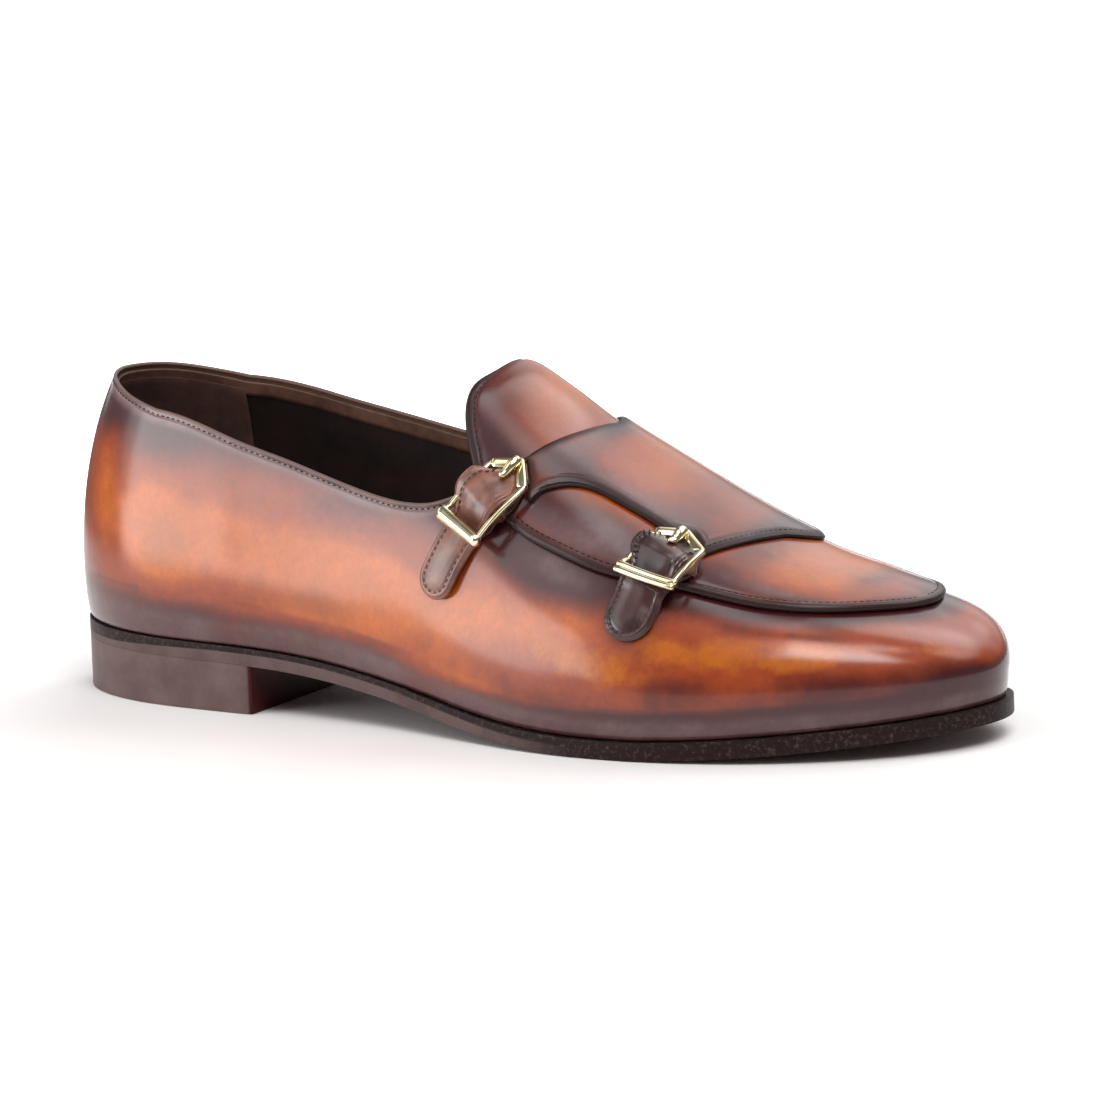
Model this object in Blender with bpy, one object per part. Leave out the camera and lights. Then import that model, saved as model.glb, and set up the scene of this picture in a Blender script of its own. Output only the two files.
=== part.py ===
"""Double monk strap shoe, right foot, standing empty on its sole."""
import bpy
import numpy as np

# Lengths in the tables are millimetres. s runs from the back of the sole to the
# toe, y is positive towards the inner side of the foot, heights are above the floor.
# A place on the upper is (q, v): q the station along the shoe, turning round the
# heel below HEEL_PIVOT and round the toe above TOE_PIVOT, and v the angle from the
# ridge, negative on the outer side: 90 at the widest line, 180 at the feather line.
MM = 0.001
SOLE = 5.2            # outsole thickness
GAP = 0.3             # air between neighbouring curved pieces
WALL = 2.0            # upper leather with its lining
MARGIN = 12.0         # lasting margin turned in under the foot
INSOLE = 2.4
APRON = 2.0
STRAP = 1.8
STRIP = 2.2           # folded and stitched strap end
BREAST = 74.6         # s of the front face of the heel
HEEL_PIVOT, TOE_PIVOT = 40.0, 254.0
BACK, TIP = -20.0, 306.0          # stations of the back seam and of the toe tip
TOE_FALL = -0.27                  # slope of the ridge past the toe pivot

OUTLINE = [  # s, y, inset of the feather line
    (0.0, 0.0, 1.0), (4.4, -13.0, 1.0), (13.2, -21.8, 1.0), (28.6, -29.6, 1.0),
    (50.0, -33.6, 1.0), (75.1, -35.2, 1.1), (99.8, -36.6, 1.2), (124.1, -39.8, 1.4),
    (148.7, -45.6, 1.8), (174.3, -51.2, 2.2), (195.0, -53.0, 2.4), (211.9, -52.2, 2.4),
    (229.6, -49.0, 2.4), (249.9, -42.2, 2.4), (268.5, -32.4, 2.4), (284.0, -19.8, 2.4),
    (294.2, -5.6, 2.4), (298.0, 8.0, 2.4), (295.8, 19.0, 2.4), (288.8, 29.4, 2.4),
    (277.0, 37.2, 2.4), (261.7, 42.8, 2.4), (242.9, 46.8, 2.4), (222.0, 48.0, 2.4),
    (200.1, 45.3, 2.3), (178.0, 38.9, 2.0), (153.0, 31.4, 1.6), (128.0, 27.6, 1.3),
    (103.0, 28.2, 1.2), (78.0, 30.4, 1.1), (52.0, 32.2, 1.0), (28.6, 29.6, 1.0),
    (13.2, 22.0, 1.0), (4.4, 12.6, 1.0), (0.0, 0.0, 1.0)]

UNDERSIDE = [  # s, height of the outsole's underside; below 0 it is flat on the floor
    (-12.0, 15.8), (0.0, 15.5), (40.0, 14.7), (72.0, 14.2), (90.0, 13.2), (110.0, 10.8),
    (130.0, 7.6), (150.0, 4.0), (170.0, 1.3), (190.0, 0.05), (205.0, -0.1), (220.0, 0.45),
    (240.0, 1.6), (260.0, 3.2), (280.0, 4.9), (298.0, 6.6), (310.0, 7.8)]

RIDGE = [  # s, y, height
    (40.0, 0.0, 118.0), (72.0, 0.5, 119.0), (100.0, 1.5, 117.0), (130.0, 3.0, 109.0),
    (150.0, 4.5, 98.4), (170.0, 5.5, 85.6), (190.0, 6.0, 73.8), (210.0, 6.0, 62.4),
    (226.0, 6.0, 54.4), (240.0, 6.0, 48.9), (254.0, 6.0, 45.2)]

SECTION = [  # q, outer side: bulge past the feather, rise of the bulge, fullness; inner side: the same
    (-20.0, 2.0, 16.0, 1.75, 2.0, 16.0, 1.75), (10.0, 1.9, 16.0, 1.8, 1.9, 16.0, 1.8),
    (40.0, 1.8, 15.0, 2.0, 1.8, 15.0, 2.0), (72.0, 1.8, 14.0, 2.0, 1.8, 14.0, 2.0),
    (100.0, 1.6, 13.0, 2.0, 2.5, 15.0, 2.0), (130.0, 1.6, 12.0, 2.0, 3.0, 16.0, 2.0),
    (160.0, 1.5, 11.0, 2.0, 2.5, 14.0, 2.0), (190.0, 1.4, 10.0, 2.1, 1.8, 11.0, 2.1),
    (220.0, 1.3, 9.5, 2.2, 1.4, 10.0, 2.2), (254.0, 1.2, 9.0, 2.4, 1.2, 9.0, 2.4),
    (280.0, 1.1, 8.5, 2.5, 1.1, 8.5, 2.5), (306.0, 1.0, 8.0, 2.6, 1.0, 8.0, 2.6)]

TOP_EDGE = {  # q, v of the upper's top edge: collar, throat, then under the apron
    -1: [(-20.0, 45.5), (0.0, 46.8), (18.8, 49.2), (49.5, 53.0), (68.9, 57.2), (86.1, 59.8),
         (114.0, 62.2), (132.8, 60.1), (141.0, 56.8), (150.0, 50.5), (159.0, 45.0),
         (168.0, 43.6), (183.0, 43.8), (199.0, 42.4), (209.0, 39.6), (220.0, 36.6),
         (234.0, 34.2), (250.0, 31.2), (265.6, 25.8), (290.0, 19.0), (306.0, 17.0)],
    1: [(-20.0, 45.5), (-1.5, 45.9), (25.8, 48.5), (53.6, 51.3), (78.0, 54.7), (102.3, 57.0),
        (116.0, 57.4), (130.0, 56.0), (142.0, 52.4), (150.0, 48.6), (159.0, 45.4),
        (168.0, 44.8), (190.0, 45.8), (205.0, 45.4), (221.0, 43.6), (233.0, 40.8),
        (245.3, 37.6), (255.0, 34.0), (266.6, 29.6), (279.4, 24.6), (292.0, 19.9),
        (306.0, 17.0)]}

APRON_EDGE = {  # q, v of the apron's edge from the corner of the tongue to the toe
    -1: [(151.8, 44.4), (160.0, 48.8), (168.2, 51.2), (182.7, 51.4), (199.0, 50.2),
         (209.0, 47.4), (220.0, 44.4), (234.0, 42.0), (250.0, 39.0), (265.6, 33.4),
         (290.0, 26.4), (306.0, 24.2)],
    1: [(151.8, 44.4), (160.0, 49.0), (168.2, 51.6), (190.0, 53.4), (205.0, 53.2),
        (221.0, 51.6), (233.0, 48.8), (245.3, 45.4), (255.0, 41.8), (266.6, 37.4),
        (279.4, 32.2), (292.0, 27.4), (306.0, 24.2)]}

TONGUE_END = [  # share of the half width from the edge to the ridge, q of the free end
    (0.0, 151.8), (0.1, 148.4), (0.22, 145.0), (0.36, 142.9), (0.55, 142.4), (0.78, 143.6),
    (1.0, 144.2)]
TONGUE_SAG = 1.7      # how far the ridge of the free end has sunk in
TONGUE_TOP = 142.4
TONGUE_BLEND = 176.0  # station where the tongue's rows are straight again

STRAP_REAR = [(0.0, 177.3), (13.0, 174.3), (25.0, 168.8), (40.0, 160.6), (52.4, 153.4),
              (61.0, 146.4), (75.0, 138.6), (92.0, 133.6), (115.0, 131.0), (138.0, 130.0)]
STRAP_FRONT = [(0.0, 230.6), (6.0, 232.4), (12.0, 232.8), (20.0, 231.0), (26.5, 228.8),
               (39.0, 224.7), (50.0, 220.8), (61.0, 215.6), (75.0, 210.0), (92.0, 206.0),
               (115.0, 203.6), (138.0, 202.8)]
STRAP_END = 138.0     # v where the strap stops above the feather line
CUT_OUT = [(173.8, -38.6), (175.9, -36.2), (180.2, -32.3), (186.6, -29.2), (195.0, -28.0),
           (203.2, -27.4)]

LANES = {  # centre line of each strap end, (q, v); the third point is under the lower bar
    "rear": [(168.4, -31.0), (163.3, -42.0), (152.4, -58.9), (147.2, -67.7), (142.7, -76.0)],
    "front": [(217.4, -20.0), (215.2, -31.5), (211.9, -46.8), (209.5, -57.7), (207.6, -69.7)]}

BUCKLES = {  # frame width, length of the sides, length to the point, bar width,
             # a of the centre bar, under and over heights of the lower and pointed bars,
             # and how the frame sits on its strap end: moved up and towards the toe,
             # turned in plan, and rolled with its toe side high
    "rear": dict(width=17.6, side=19.2, point=25.6, bar=1.6, pin=10.0,
                 low=(4.8, 6.6), high=(4.9, 6.4), under=2.9, pin_height=3.1,
                 up=-0.4, toeward=1.2, turn=0.05, roll=0.14),
    "front": dict(width=20.0, side=15.4, point=21.0, bar=1.7, pin=8.5,
                  low=(5.8, 7.6), high=(5.1, 6.5), under=2.9, pin_height=3.8,
                  up=-1.2, toeward=1.3, turn=0.1, roll=0.15)}

STRIPS = {  # width, a of the round end, (a, height of the underside)
    "rear": dict(width=11.8, end=-22.5, bed=[
        (-30.0, 0.5), (-6.0, 0.5), (0.0, 0.6), (3.0, 1.4), (7.0, 4.2), (10.0, 5.1), (13.0, 4.8),
        (17.0, 3.4), (21.0, 2.65), (25.0, 2.6), (30.0, 2.6)]),
    "front": dict(width=13.8, end=-19.5, bed=[
        (-30.0, 0.5), (-9.5, 0.5), (-6.0, 1.3), (-3.5, 2.5), (0.0, 2.6), (3.0, 3.4),
        (6.0, 5.1), (8.5, 5.4), (11.0, 4.8), (14.5, 3.1), (17.5, 2.65), (21.0, 2.6), (30.0, 2.6)])}

LEATHER, DARK_LEATHER = (0.36, 0.12, 0.045), (0.085, 0.04, 0.032)
SOLE_EDGE, BOARD = (0.035, 0.024, 0.02), (0.42, 0.27, 0.16)
GOLD = (0.83, 0.62, 0.3)


# ---------------------------------------------------------------- curves
def spline(knots, values, at, closed=False):
    t = np.asarray(knots, float)
    y = np.asarray(values, float).reshape(len(t), -1)
    n, h = len(t), np.diff(t)
    m = n - 1 if closed else n
    a, b = np.eye(m), np.zeros((m, y.shape[1]))
    for i in range(0 if closed else 1, n - 1):
        left = h[i - 1]
        a[i, i] = 2 * (left + h[i])
        a[i, i - 1] = left
        a[i, (i + 1) % m] = h[i]
        before = y[i - 1] if i or not closed else y[m - 1]
        b[i] = 6 * ((y[i + 1] - y[i]) / h[i] - (y[i] - before) / left)
    k = np.linalg.solve(a, b)
    if closed:
        k = np.vstack([k, k[:1]])
    at = np.asarray(at, float)
    i = np.clip(np.searchsorted(t, at, side="right") - 1, 0, n - 2)
    d, w = (at - t[i])[..., None], h[i][..., None]
    e = w - d
    return ((k[i] * e ** 3 + k[i + 1] * d ** 3) / (6 * w) + (y[i] / w - k[i] * w / 6) * e
            + (y[i + 1] / w - k[i + 1] * w / 6) * d)


def curve(table, at):
    table = np.asarray(table, float)
    return spline(table[:, 0], table[:, 1:], at)


def ease(x):
    x = np.clip(x, 0, 1)
    return x * x * (3 - 2 * x)


def along(points, at):
    """Smooth curve through points, at from 0 to 1 by length."""
    p = np.asarray(points, float)
    run = np.r_[0, np.cumsum(np.hypot(*np.diff(p, axis=0).T))]
    return spline(run / run[-1], p, at)


# ---------------------------------------------------------------- plan of the sole
def plan_loop(share, extra=0.0, count=720):
    """The sole's outline, moved in by share of the feather inset and out by extra."""
    p = np.asarray(OUTLINE, float)
    run = np.r_[0, np.cumsum(np.hypot(*np.diff(p[:, :2], axis=0).T))]
    loop = spline(run, p, np.linspace(0, run[-1], count, endpoint=False), closed=True)
    step = np.roll(loop[:, :2], -1, 0) - np.roll(loop[:, :2], 1, 0)
    inward = np.c_[-step[:, 1], step[:, 0]] / np.hypot(*step.T)[:, None]
    return loop[:, :2] + inward * (share * loop[:, 2:3] - extra)


def widths(loop, s):
    """y of the outer and inner side of a plan loop at the stations s."""
    back, tip = loop[:, 0].argmin(), loop[:, 0].argmax()
    ring = np.vstack([loop[back:], loop[:back]])
    tip = (tip - back) % len(loop)
    outer, inner = ring[:tip + 1], np.vstack([ring[tip:], ring[:1]])[::-1]
    return np.interp(s, outer[:, 0], outer[:, 1]), np.interp(s, inner[:, 0], inner[:, 1])


def sole_under(s):
    return np.maximum(curve(UNDERSIDE, s)[..., 0], 0.0)


def sole_top(s):
    return sole_under(s) + SOLE


# ---------------------------------------------------------------- the last
FEATHER = plan_loop(1.0)


def reach(base, way):
    """Distance from each base along way to the feather line."""
    a, e = FEATHER, np.roll(FEATHER, -1, 0) - FEATHER
    w = a[None] - base[:, None]
    cross = way[:, None, 0] * e[None, :, 1] - way[:, None, 1] * e[None, :, 0]
    cross = np.where(np.abs(cross) < 1e-12, 1e-12, cross)
    far = (w[..., 0] * e[None, :, 1] - w[..., 1] * e[None, :, 0]) / cross
    part = (w[..., 0] * way[:, None, 1] - w[..., 1] * way[:, None, 0]) / cross
    return np.where((part > -1e-6) & (part < 1 + 1e-6) & (far > 0), far, 0).max(1)


def sections(side):
    """Everything a section needs, tabulated finely along q."""
    q = np.linspace(BACK, TIP, 1305)
    s = np.clip(q, HEEL_PIVOT, TOE_PIVOT)
    turn = (np.clip((q - TOE_PIVOT) / (TIP - TOE_PIVOT), 0, 1)
            - np.clip((HEEL_PIVOT - q) / (HEEL_PIVOT - BACK), 0, 1)) * np.pi / 2
    y, ridge = curve(RIDGE, s).T
    base = np.c_[s, y]
    way = np.c_[np.sin(turn), side * np.cos(turn)]
    foot = reach(base, way)
    edge = base + way * foot[:, None]
    shape = curve(SECTION, q)[:, :3] if side < 0 else curve(SECTION, q)[:, 3:]
    low = sole_top(edge[:, 0]) + GAP
    return q, np.c_[base, way, foot, low, foot + shape[:, 0], low + shape[:, 1], shape[:, 2],
                    ridge, np.where(turn > 0, TOE_FALL, 0.0)]


TABLES = {-1: sections(-1), 1: sections(1)}


def skin(q, v, off=0.0):
    """Point of the upper's outer face at (q, v), moved outward by off."""
    q, v, off = np.broadcast_arrays(np.asarray(q, float), np.asarray(v, float),
                                    np.asarray(off, float))
    values = np.where((v < 0)[..., None], *[
        np.stack([np.interp(q, TABLES[side][0], col) for col in TABLES[side][1].T], -1)
        for side in (-1, 1)])
    bx, by, wx, wy, foot, low, wide, high, full, ridge, fall = np.moveaxis(values, -1, 0)
    t = np.radians(90 - np.abs(v))
    cos, sin = np.clip(np.cos(t), 0, 1), np.clip(np.sin(t), 0, 1)
    r_up = (wide + off) * cos ** (2 / full)
    z_up = high + (ridge + off + fall * r_up * wx - high) * sin ** (2 / np.maximum(full, 2.0))
    r_low = foot + off + (wide - foot) * np.sin(t + np.pi / 2)
    z_low = low - off + (high - low + off) * (1 - np.cos(t + np.pi / 2))
    r, z = np.where(t >= 0, r_up, r_low), np.where(t >= 0, z_up, z_low)
    return np.stack([bx + wx * r, by + wy * r, z], -1)


def apron_bed(q, v):
    """Height of whatever the strap lies on above the upper."""
    edge = np.where(v < 0, curve(APRON_EDGE[-1], q)[..., 0], curve(APRON_EDGE[1], q)[..., 0])
    return (GAP + APRON) * ease((edge + 7.5 - np.abs(v)) / 4.5)


# ---------------------------------------------------------------- meshes
def mesh_from(grids, name):
    """Closed shells between an outer and an inner grid of points, joined where they meet."""
    points, faces, seen = [], [], {}

    def spot(outer, inner):
        key = tuple(np.round(outer, 4))
        if key not in seen:
            seen[key] = len(points)
            points.append((outer, inner))
        return seen[key]

    for outer, inner in grids:
        rows = [[spot(o, i) for o, i in zip(*line)] for line in zip(outer, inner)]
        for a, b in zip(rows, rows[1:]):
            for j in range(len(a) - 1):
                ring = [a[j], b[j], b[j + 1], a[j + 1]]
                face = [p for k, p in enumerate(ring) if p != ring[k - 1]]
                if len(face) > 2:
                    faces.append(face)
    n = len(points)
    edges = {(f[k - 1], f[k]) for f in faces for k in range(len(f))}
    shell = faces + [[p + n for p in f[::-1]] for f in faces]
    shell += [[b, a, a + n, b + n] for a, b in edges if (b, a) not in edges]
    return solid(name, [o for o, _ in points] + [i for _, i in points], shell)


def solid(name, points, faces):
    p = np.asarray(points, float)
    volume = sum(np.dot(p[f[0]], np.cross(p[f[k]], p[f[k + 1]]))
                 for f in faces for k in range(1, len(f) - 1))
    if volume < 0:
        faces = [f[::-1] for f in faces]
    mesh = bpy.data.meshes.new(name)
    mesh.from_pydata((p * MM).tolist(), [], faces)
    mesh.validate()
    thing = bpy.data.objects.new(name, mesh)
    bpy.context.collection.objects.link(thing)
    return thing


def stations(start, stop, count, round_start=False, round_stop=False):
    u = np.linspace(0, 1, count)
    if round_start and round_stop:
        u = (1 - np.cos(np.pi * u)) / 2
    elif round_start:
        u = 1 - np.cos(np.pi / 2 * u)
    elif round_stop:
        u = np.sin(np.pi / 2 * u)
    return start + (stop - start) * u


def slab(name, loop, s, under, over):
    """Plate with the plan of loop at the stations s, between two heights."""
    outer, inner = widths(loop, s)
    top, bottom = [np.array([[(x, o + (i - o) * f, z) for f in (0, 0.5, 1)]
                             for x, o, i, z in zip(s, outer, inner, height)])
                   for height in (over, under)]
    return mesh_from([(top, bottom)], name)


# ---------------------------------------------------------------- bottom
def make_outsole():
    loop = plan_loop(0.0)
    s = stations(loop[:, 0].min(), loop[:, 0].max(), 54, True, True)
    return slab("outsole", loop, s, sole_under(s), sole_top(s))


def make_heel():
    loop = plan_loop(0.0, -0.2)
    s = stations(loop[:, 0].min(), BREAST, 22, round_start=True)
    return slab("heel", loop, s, 0 * s, sole_under(s) - GAP)


def make_insole():
    loop = plan_loop(1.0, -(WALL + 0.6))
    s = stations(loop[:, 0].min(), loop[:, 0].max(), 40, True, True)
    under = sole_top(s) + 2 * GAP + WALL
    return slab("insole", loop, s, under, under + INSOLE)


# ---------------------------------------------------------------- upper
def ring_stations(heel, side, toe):
    """q from the back seam to the toe tip, shared by both sides."""
    return np.r_[np.linspace(BACK, HEEL_PIVOT, heel), np.linspace(HEEL_PIVOT, TOE_PIVOT, side)[1:],
                 np.linspace(TOE_PIVOT, TIP, toe)[1:]]


def make_upper():
    one_way = ring_stations(8, 23, 10)
    ring = [(-1, q) for q in one_way[::-1]] + [(1, q) for q in one_way[1:]]
    outer, inner = [], []
    for side, q in ring:
        top = curve(TOP_EDGE[side], q)[0]
        v = side * np.r_[180, 158, 134, 112, 90 - (90 - top) * np.linspace(0, 1, 10)]
        shell = [skin(q, v), skin(q, v, -WALL)]
        values = [np.interp(q, TABLES[side][0], col) for col in TABLES[side][1].T]
        base, way, foot = np.array(values[0:2]), np.array(values[2:4]), values[4]
        turned = base + way * (foot - MARGIN)
        turned = np.r_[turned, sole_top(turned[0]) + GAP]
        outer.append(np.vstack([turned, shell[0]]))
        inner.append(np.vstack([turned + [0, 0, WALL], shell[1]]))
    return mesh_from([(np.array(outer), np.array(inner))], "upper")


def make_apron():
    one_way = np.r_[np.linspace(TONGUE_TOP, TOE_PIVOT, 15), np.linspace(TOE_PIVOT, TIP, 8)[1:]]
    share = np.r_[0, 0.035, np.linspace(0.12, 1, 7)]
    end = curve(TONGUE_END, share)[:, 0]
    rows = []
    for side in (-1, 1):
        table = np.asarray(APRON_EDGE[side])
        half = []
        for q0 in one_way:
            keep = ease((TONGUE_BLEND - q0) / (TONGUE_BLEND - TONGUE_TOP))
            q = q0 + keep * (end - TONGUE_TOP)
            edge = curve(table, np.maximum(q[0], table[0, 0]))[0]
            half.append(np.c_[q, side * np.maximum(edge * (1 - share), 1e-9)])
        rows.append(half)
    ring = rows[0] + rows[1][::-1][1:]
    q, v = np.array(ring)[..., 0], np.array(ring)[..., 1]
    sag = TONGUE_SAG * ease((160 - q) / 18) * ease((34 - np.abs(v)) / 30)
    return mesh_from([(skin(q, v, GAP + APRON - sag), skin(q, v, GAP - sag))], "apron")


# ---------------------------------------------------------------- strap, strap ends, buckles
class Lane:
    """Flat coordinates along a strap end: a up towards the saddle, b towards the toe."""

    def __init__(self, name):
        p = np.asarray(LANES[name], float)
        run = np.r_[0, np.cumsum(np.hypot(*np.diff(p, axis=0).T))]
        u = np.linspace(-0.12 * run[-1], 1.12 * run[-1], 400)
        self.place = spline(run, p, u)
        spots = skin(*self.place.T, 2.0)
        length = np.r_[0, np.cumsum(np.linalg.norm(np.diff(spots, axis=0), axis=1))]
        self.a = np.interp(run[2], u, length) - length
        tangent = np.gradient(spots, axis=0)
        dq = (skin(self.place[:, 0] + 0.1, self.place[:, 1], 2.0) - spots) / 0.1
        dv = (skin(self.place[:, 0], self.place[:, 1] + 0.1, 2.0) - spots) / 0.1
        side = np.cross(np.cross(dq, dv), tangent)
        side /= np.linalg.norm(side, axis=1)[:, None]
        qq, qv, vv = (dq * dq).sum(1), (dq * dv).sum(1), (dv * dv).sum(1)
        sq, sv = (side * dq).sum(1), (side * dv).sum(1)
        det = qq * vv - qv * qv
        self.across = np.c_[(sq * vv - sv * qv) / det, (sv * qq - sq * qv) / det]
        self.across *= np.sign(self.across[:, :1])

    def at(self, a, b):
        a, b = np.broadcast_arrays(np.asarray(a, float), np.asarray(b, float))
        read = [np.interp(a, self.a[::-1], col[::-1])
                for col in (*self.place.T, *self.across.T)]
        return read[0] + b * read[2], read[1] + b * read[3]

    def point(self, a, b, height):
        q, v = self.at(a, b)
        return skin(q, v, height)


LANE = {name: Lane(name) for name in LANES}


def on_frame(name, a, b, height):
    """Point in a buckle's own coordinates."""
    size = BUCKLES[name]
    return LANE[name].point(a + size["up"] + size["turn"] * b,
                            b + size["toeward"] - size["turn"] * a, height + size["roll"] * b)


def joint(name, b):
    """Lane coordinate a of the seam under the pointed bar."""
    size = BUCKLES[name]
    across = b - size["toeward"] + size["turn"] * size["point"]
    slope = (size["point"] - size["side"]) / (size["width"] / 2)
    return size["point"] - 0.2 - slope * np.abs(across) + size["up"] + size["turn"] * across


def make_strap():
    def lane_line(name, b):
        return np.stack(LANE[name].at(joint(name, b) + 0.6, b), -1)

    rear = lane_line("rear", np.array([-1.6, 0.0, 2.8, 5.5]))
    front = lane_line("front", np.linspace(-6.3, 6.3, 7))
    cut = along([rear[-1], *CUT_OUT, front[0]], np.linspace(0, 1, 10))
    bottom = np.vstack([rear, cut[1:-1], front])
    c = np.linspace(0, 1, len(bottom))
    r = np.linspace(0, 1, 9)
    top = np.c_[STRAP_REAR[0][1] + (STRAP_FRONT[0][1] - STRAP_REAR[0][1]) * c, 0 * c - 1e-9]
    left = along([top[0], (174.3, -13.0), (170.4, -23.1), bottom[0]], r)
    right = along([top[-1], (226.4, -15.3), bottom[-1]], r)
    C, R = c[None, :, None], r[:, None, None]
    outer_half = ((1 - R) * top[None] + R * bottom[None] + (1 - C) * left[:, None]
                  + C * right[:, None]
                  - (1 - R) * (1 - C) * top[0] - (1 - R) * C * top[-1]
                  - R * (1 - C) * bottom[0] - R * C * bottom[-1])
    v = np.r_[np.linspace(0, 40, 6), np.linspace(43.5, 64, 7), np.linspace(72, STRAP_END, 7)]
    ends = np.c_[curve(STRAP_REAR, v), curve(STRAP_FRONT, v)]
    inner_half = np.stack([ends[:, :1] + (ends[:, 1:] - ends[:, :1]) * c[None],
                           np.repeat(np.maximum(v, 1e-9)[:, None], len(c), 1)], -1)
    place = np.concatenate([outer_half[::-1], inner_half[1:]])
    q, v = place[..., 0], place[..., 1]
    bed = GAP + apron_bed(q, v)
    return mesh_from([(skin(q, v, bed + STRAP), skin(q, v, bed))], "monk_strap")


def make_strip(name):
    size = STRIPS[name]
    half, end = size["width"] / 2, size["end"]
    across = np.linspace(-1, 1, 7)
    start = joint(name, 0.0)
    tip = end + half - half * np.cos(np.linspace(0, np.pi / 2, 6))
    a = np.r_[tip, np.linspace(end + half, start, 17)[1:]]
    wide = half * np.sqrt(np.clip(1 - ((end + half - a) / half) ** 2, 0, 1))
    wide = np.where(a >= end + half, half, wide)
    wide -= 1.3 * ease((a - start + 10) / 4)      # slimmer where it dives under the pointed bar
    b = wide[:, None] * across[None]
    blunt = ease((a - (start - 9)) / 9)[:, None]
    rolled = BUCKLES[name]["roll"] * (ease((a - 1) / 5) * ease((start - 5 - a) / 7))[:, None]
    a = a[:, None] + blunt * (joint(name, b) - joint(name, 0.0))
    bed = curve(size["bed"], a)[..., 0] + rolled * b
    crown = STRIP * (1 - 0.22 * across[None] ** 4) * (1 - 0.42 * blunt)
    lane = LANE[name]
    return mesh_from([(lane.point(a, b, bed + crown), lane.point(a, b, bed))],
                     "strap_tip_" + name)


def make_frame(name):
    """Buckle frame: pointed outer bar, two sides, straight lower bar and the centre bar."""
    size = BUCKLES[name]
    half, bar = size["width"] / 2 - size["bar"] / 2, size["bar"]
    tip = size["point"] - bar / 2
    corners = np.array([(0, -half), (size["side"], -half), (tip, 0), (size["side"], half), (0, half)])
    counts = [9, 5, 5, 9, 7]
    loop = np.vstack([np.linspace(p, q, n, endpoint=False)
                      for p, q, n in zip(corners, np.roll(corners, -1, 0), counts)])
    step = np.roll(loop, -1, 0) - loop
    step /= np.linalg.norm(step, axis=1)[:, None]
    normal = np.c_[-step[:, 1], step[:, 0]]
    miter = normal + np.roll(normal, 1, 0)
    miter /= (miter * normal).sum(1)[:, None]
    a = loop[:, 0]
    rise = ease((a - size["side"]) / 0.9)
    lift = ease((1.5 - a) / 1.2)
    level = size["under"] - size["roll"] * loop[:, 1]     # the sides reach down to the leather
    under = level + (size["high"][0] - level) * rise + (size["low"][0] - level) * lift
    over = size["low"][1] + (size["high"][1] - size["low"][1]) * np.clip(a / size["side"], 0, 1)
    w, e = bar / 2, 0.35
    profile = [(-w, 0, e), (-w, 1, -e), (-w + e, 1, 0), (w - e, 1, 0), (w, 1, -e), (w, 0, e),
               (w - e, 0, 0), (-w + e, 0, 0)]
    rings = []
    for out, upper, shift in profile:
        p = loop + miter * out
        rings.append(on_frame(name, p[:, 0], p[:, 1], np.where(upper, over, under) + shift))
    rings = np.array(rings)
    n, m = rings.shape[:2]
    faces = [[i * m + j, ((i + 1) % n) * m + j, ((i + 1) % n) * m + (j + 1) % m, i * m + (j + 1) % m]
             for i in range(n) for j in range(m)]
    frame = solid("buckle_" + name, rings.reshape(-1, 3), faces)
    b = np.linspace(-half, half, 7)
    turn = np.arange(8) * np.pi / 4
    middle = np.maximum(size["pin_height"], 3.2 - size["roll"] * b)
    rod = np.array([on_frame(name, size["pin"] + 0.7 * np.cos(t), b, middle + 0.7 * np.sin(t))
                    for t in turn])
    k = len(b)
    sides = [[i * k + j, ((i + 1) % 8) * k + j, ((i + 1) % 8) * k + j + 1, i * k + j + 1]
             for i in range(8) for j in range(k - 1)]
    caps = [[i * k for i in range(8)][::-1], [i * k + k - 1 for i in range(8)]]
    pin = solid("pin", rod.reshape(-1, 3), sides + caps)
    joined = frame.modifiers.new("join", "BOOLEAN")
    joined.operation, joined.solver, joined.object = "UNION", "EXACT", pin
    mesh = bpy.data.meshes.new_from_object(frame.evaluated_get(bpy.context.evaluated_depsgraph_get()))
    mesh.name = frame.name
    frame.modifiers.remove(joined)
    frame.data = mesh
    bpy.data.objects.remove(pin)
    return frame


def make_prong(name):
    """Short pin lying over the pointed bar, its root just clear of the leather."""
    size = BUCKLES[name]
    top = size["high"][1]
    tip = size["point"]
    line = [(tip - 8.6, curve(STRIPS[name]["bed"], tip - 8.6)[0] + STRIP + 1.9),
            (tip - 6.8, top + 0.6), (tip - 4.6, top + 0.9), (tip - 2.8, top + 1.05),
            (tip - 1.0, top + 0.95)]
    line = along(line, np.linspace(0, 1, 9))
    turn = np.arange(8) * np.pi / 4
    size_at = np.r_[0.7, np.full(7, 0.78), 0.5]
    rings = np.array([[on_frame(name, a, 1.25 * r * np.cos(t), h + r * np.sin(t)) for t in turn]
                      for (a, h), r in zip(line, size_at)])
    n = len(rings)
    sides = [[i * 8 + j, i * 8 + (j + 1) % 8, (i + 1) * 8 + (j + 1) % 8, (i + 1) * 8 + j]
             for i in range(n - 1) for j in range(8)]
    caps = [list(range(8))[::-1], [(n - 1) * 8 + j for j in range(8)]]
    return solid("prong_" + name, rings.reshape(-1, 3), sides + caps)


# ---------------------------------------------------------------- assembly
def paint(thing, colour, rough, metal=0.0):
    material = bpy.data.materials.new(thing.name)
    material.use_nodes = True
    shader = material.node_tree.nodes["Principled BSDF"]
    shader.inputs["Base Color"].default_value = (*colour, 1.0)
    shader.inputs["Roughness"].default_value = rough
    shader.inputs["Metallic"].default_value = metal
    thing.data.materials.clear()
    thing.data.materials.append(material)


for old in list(bpy.data.objects):
    bpy.data.objects.remove(old)

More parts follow.
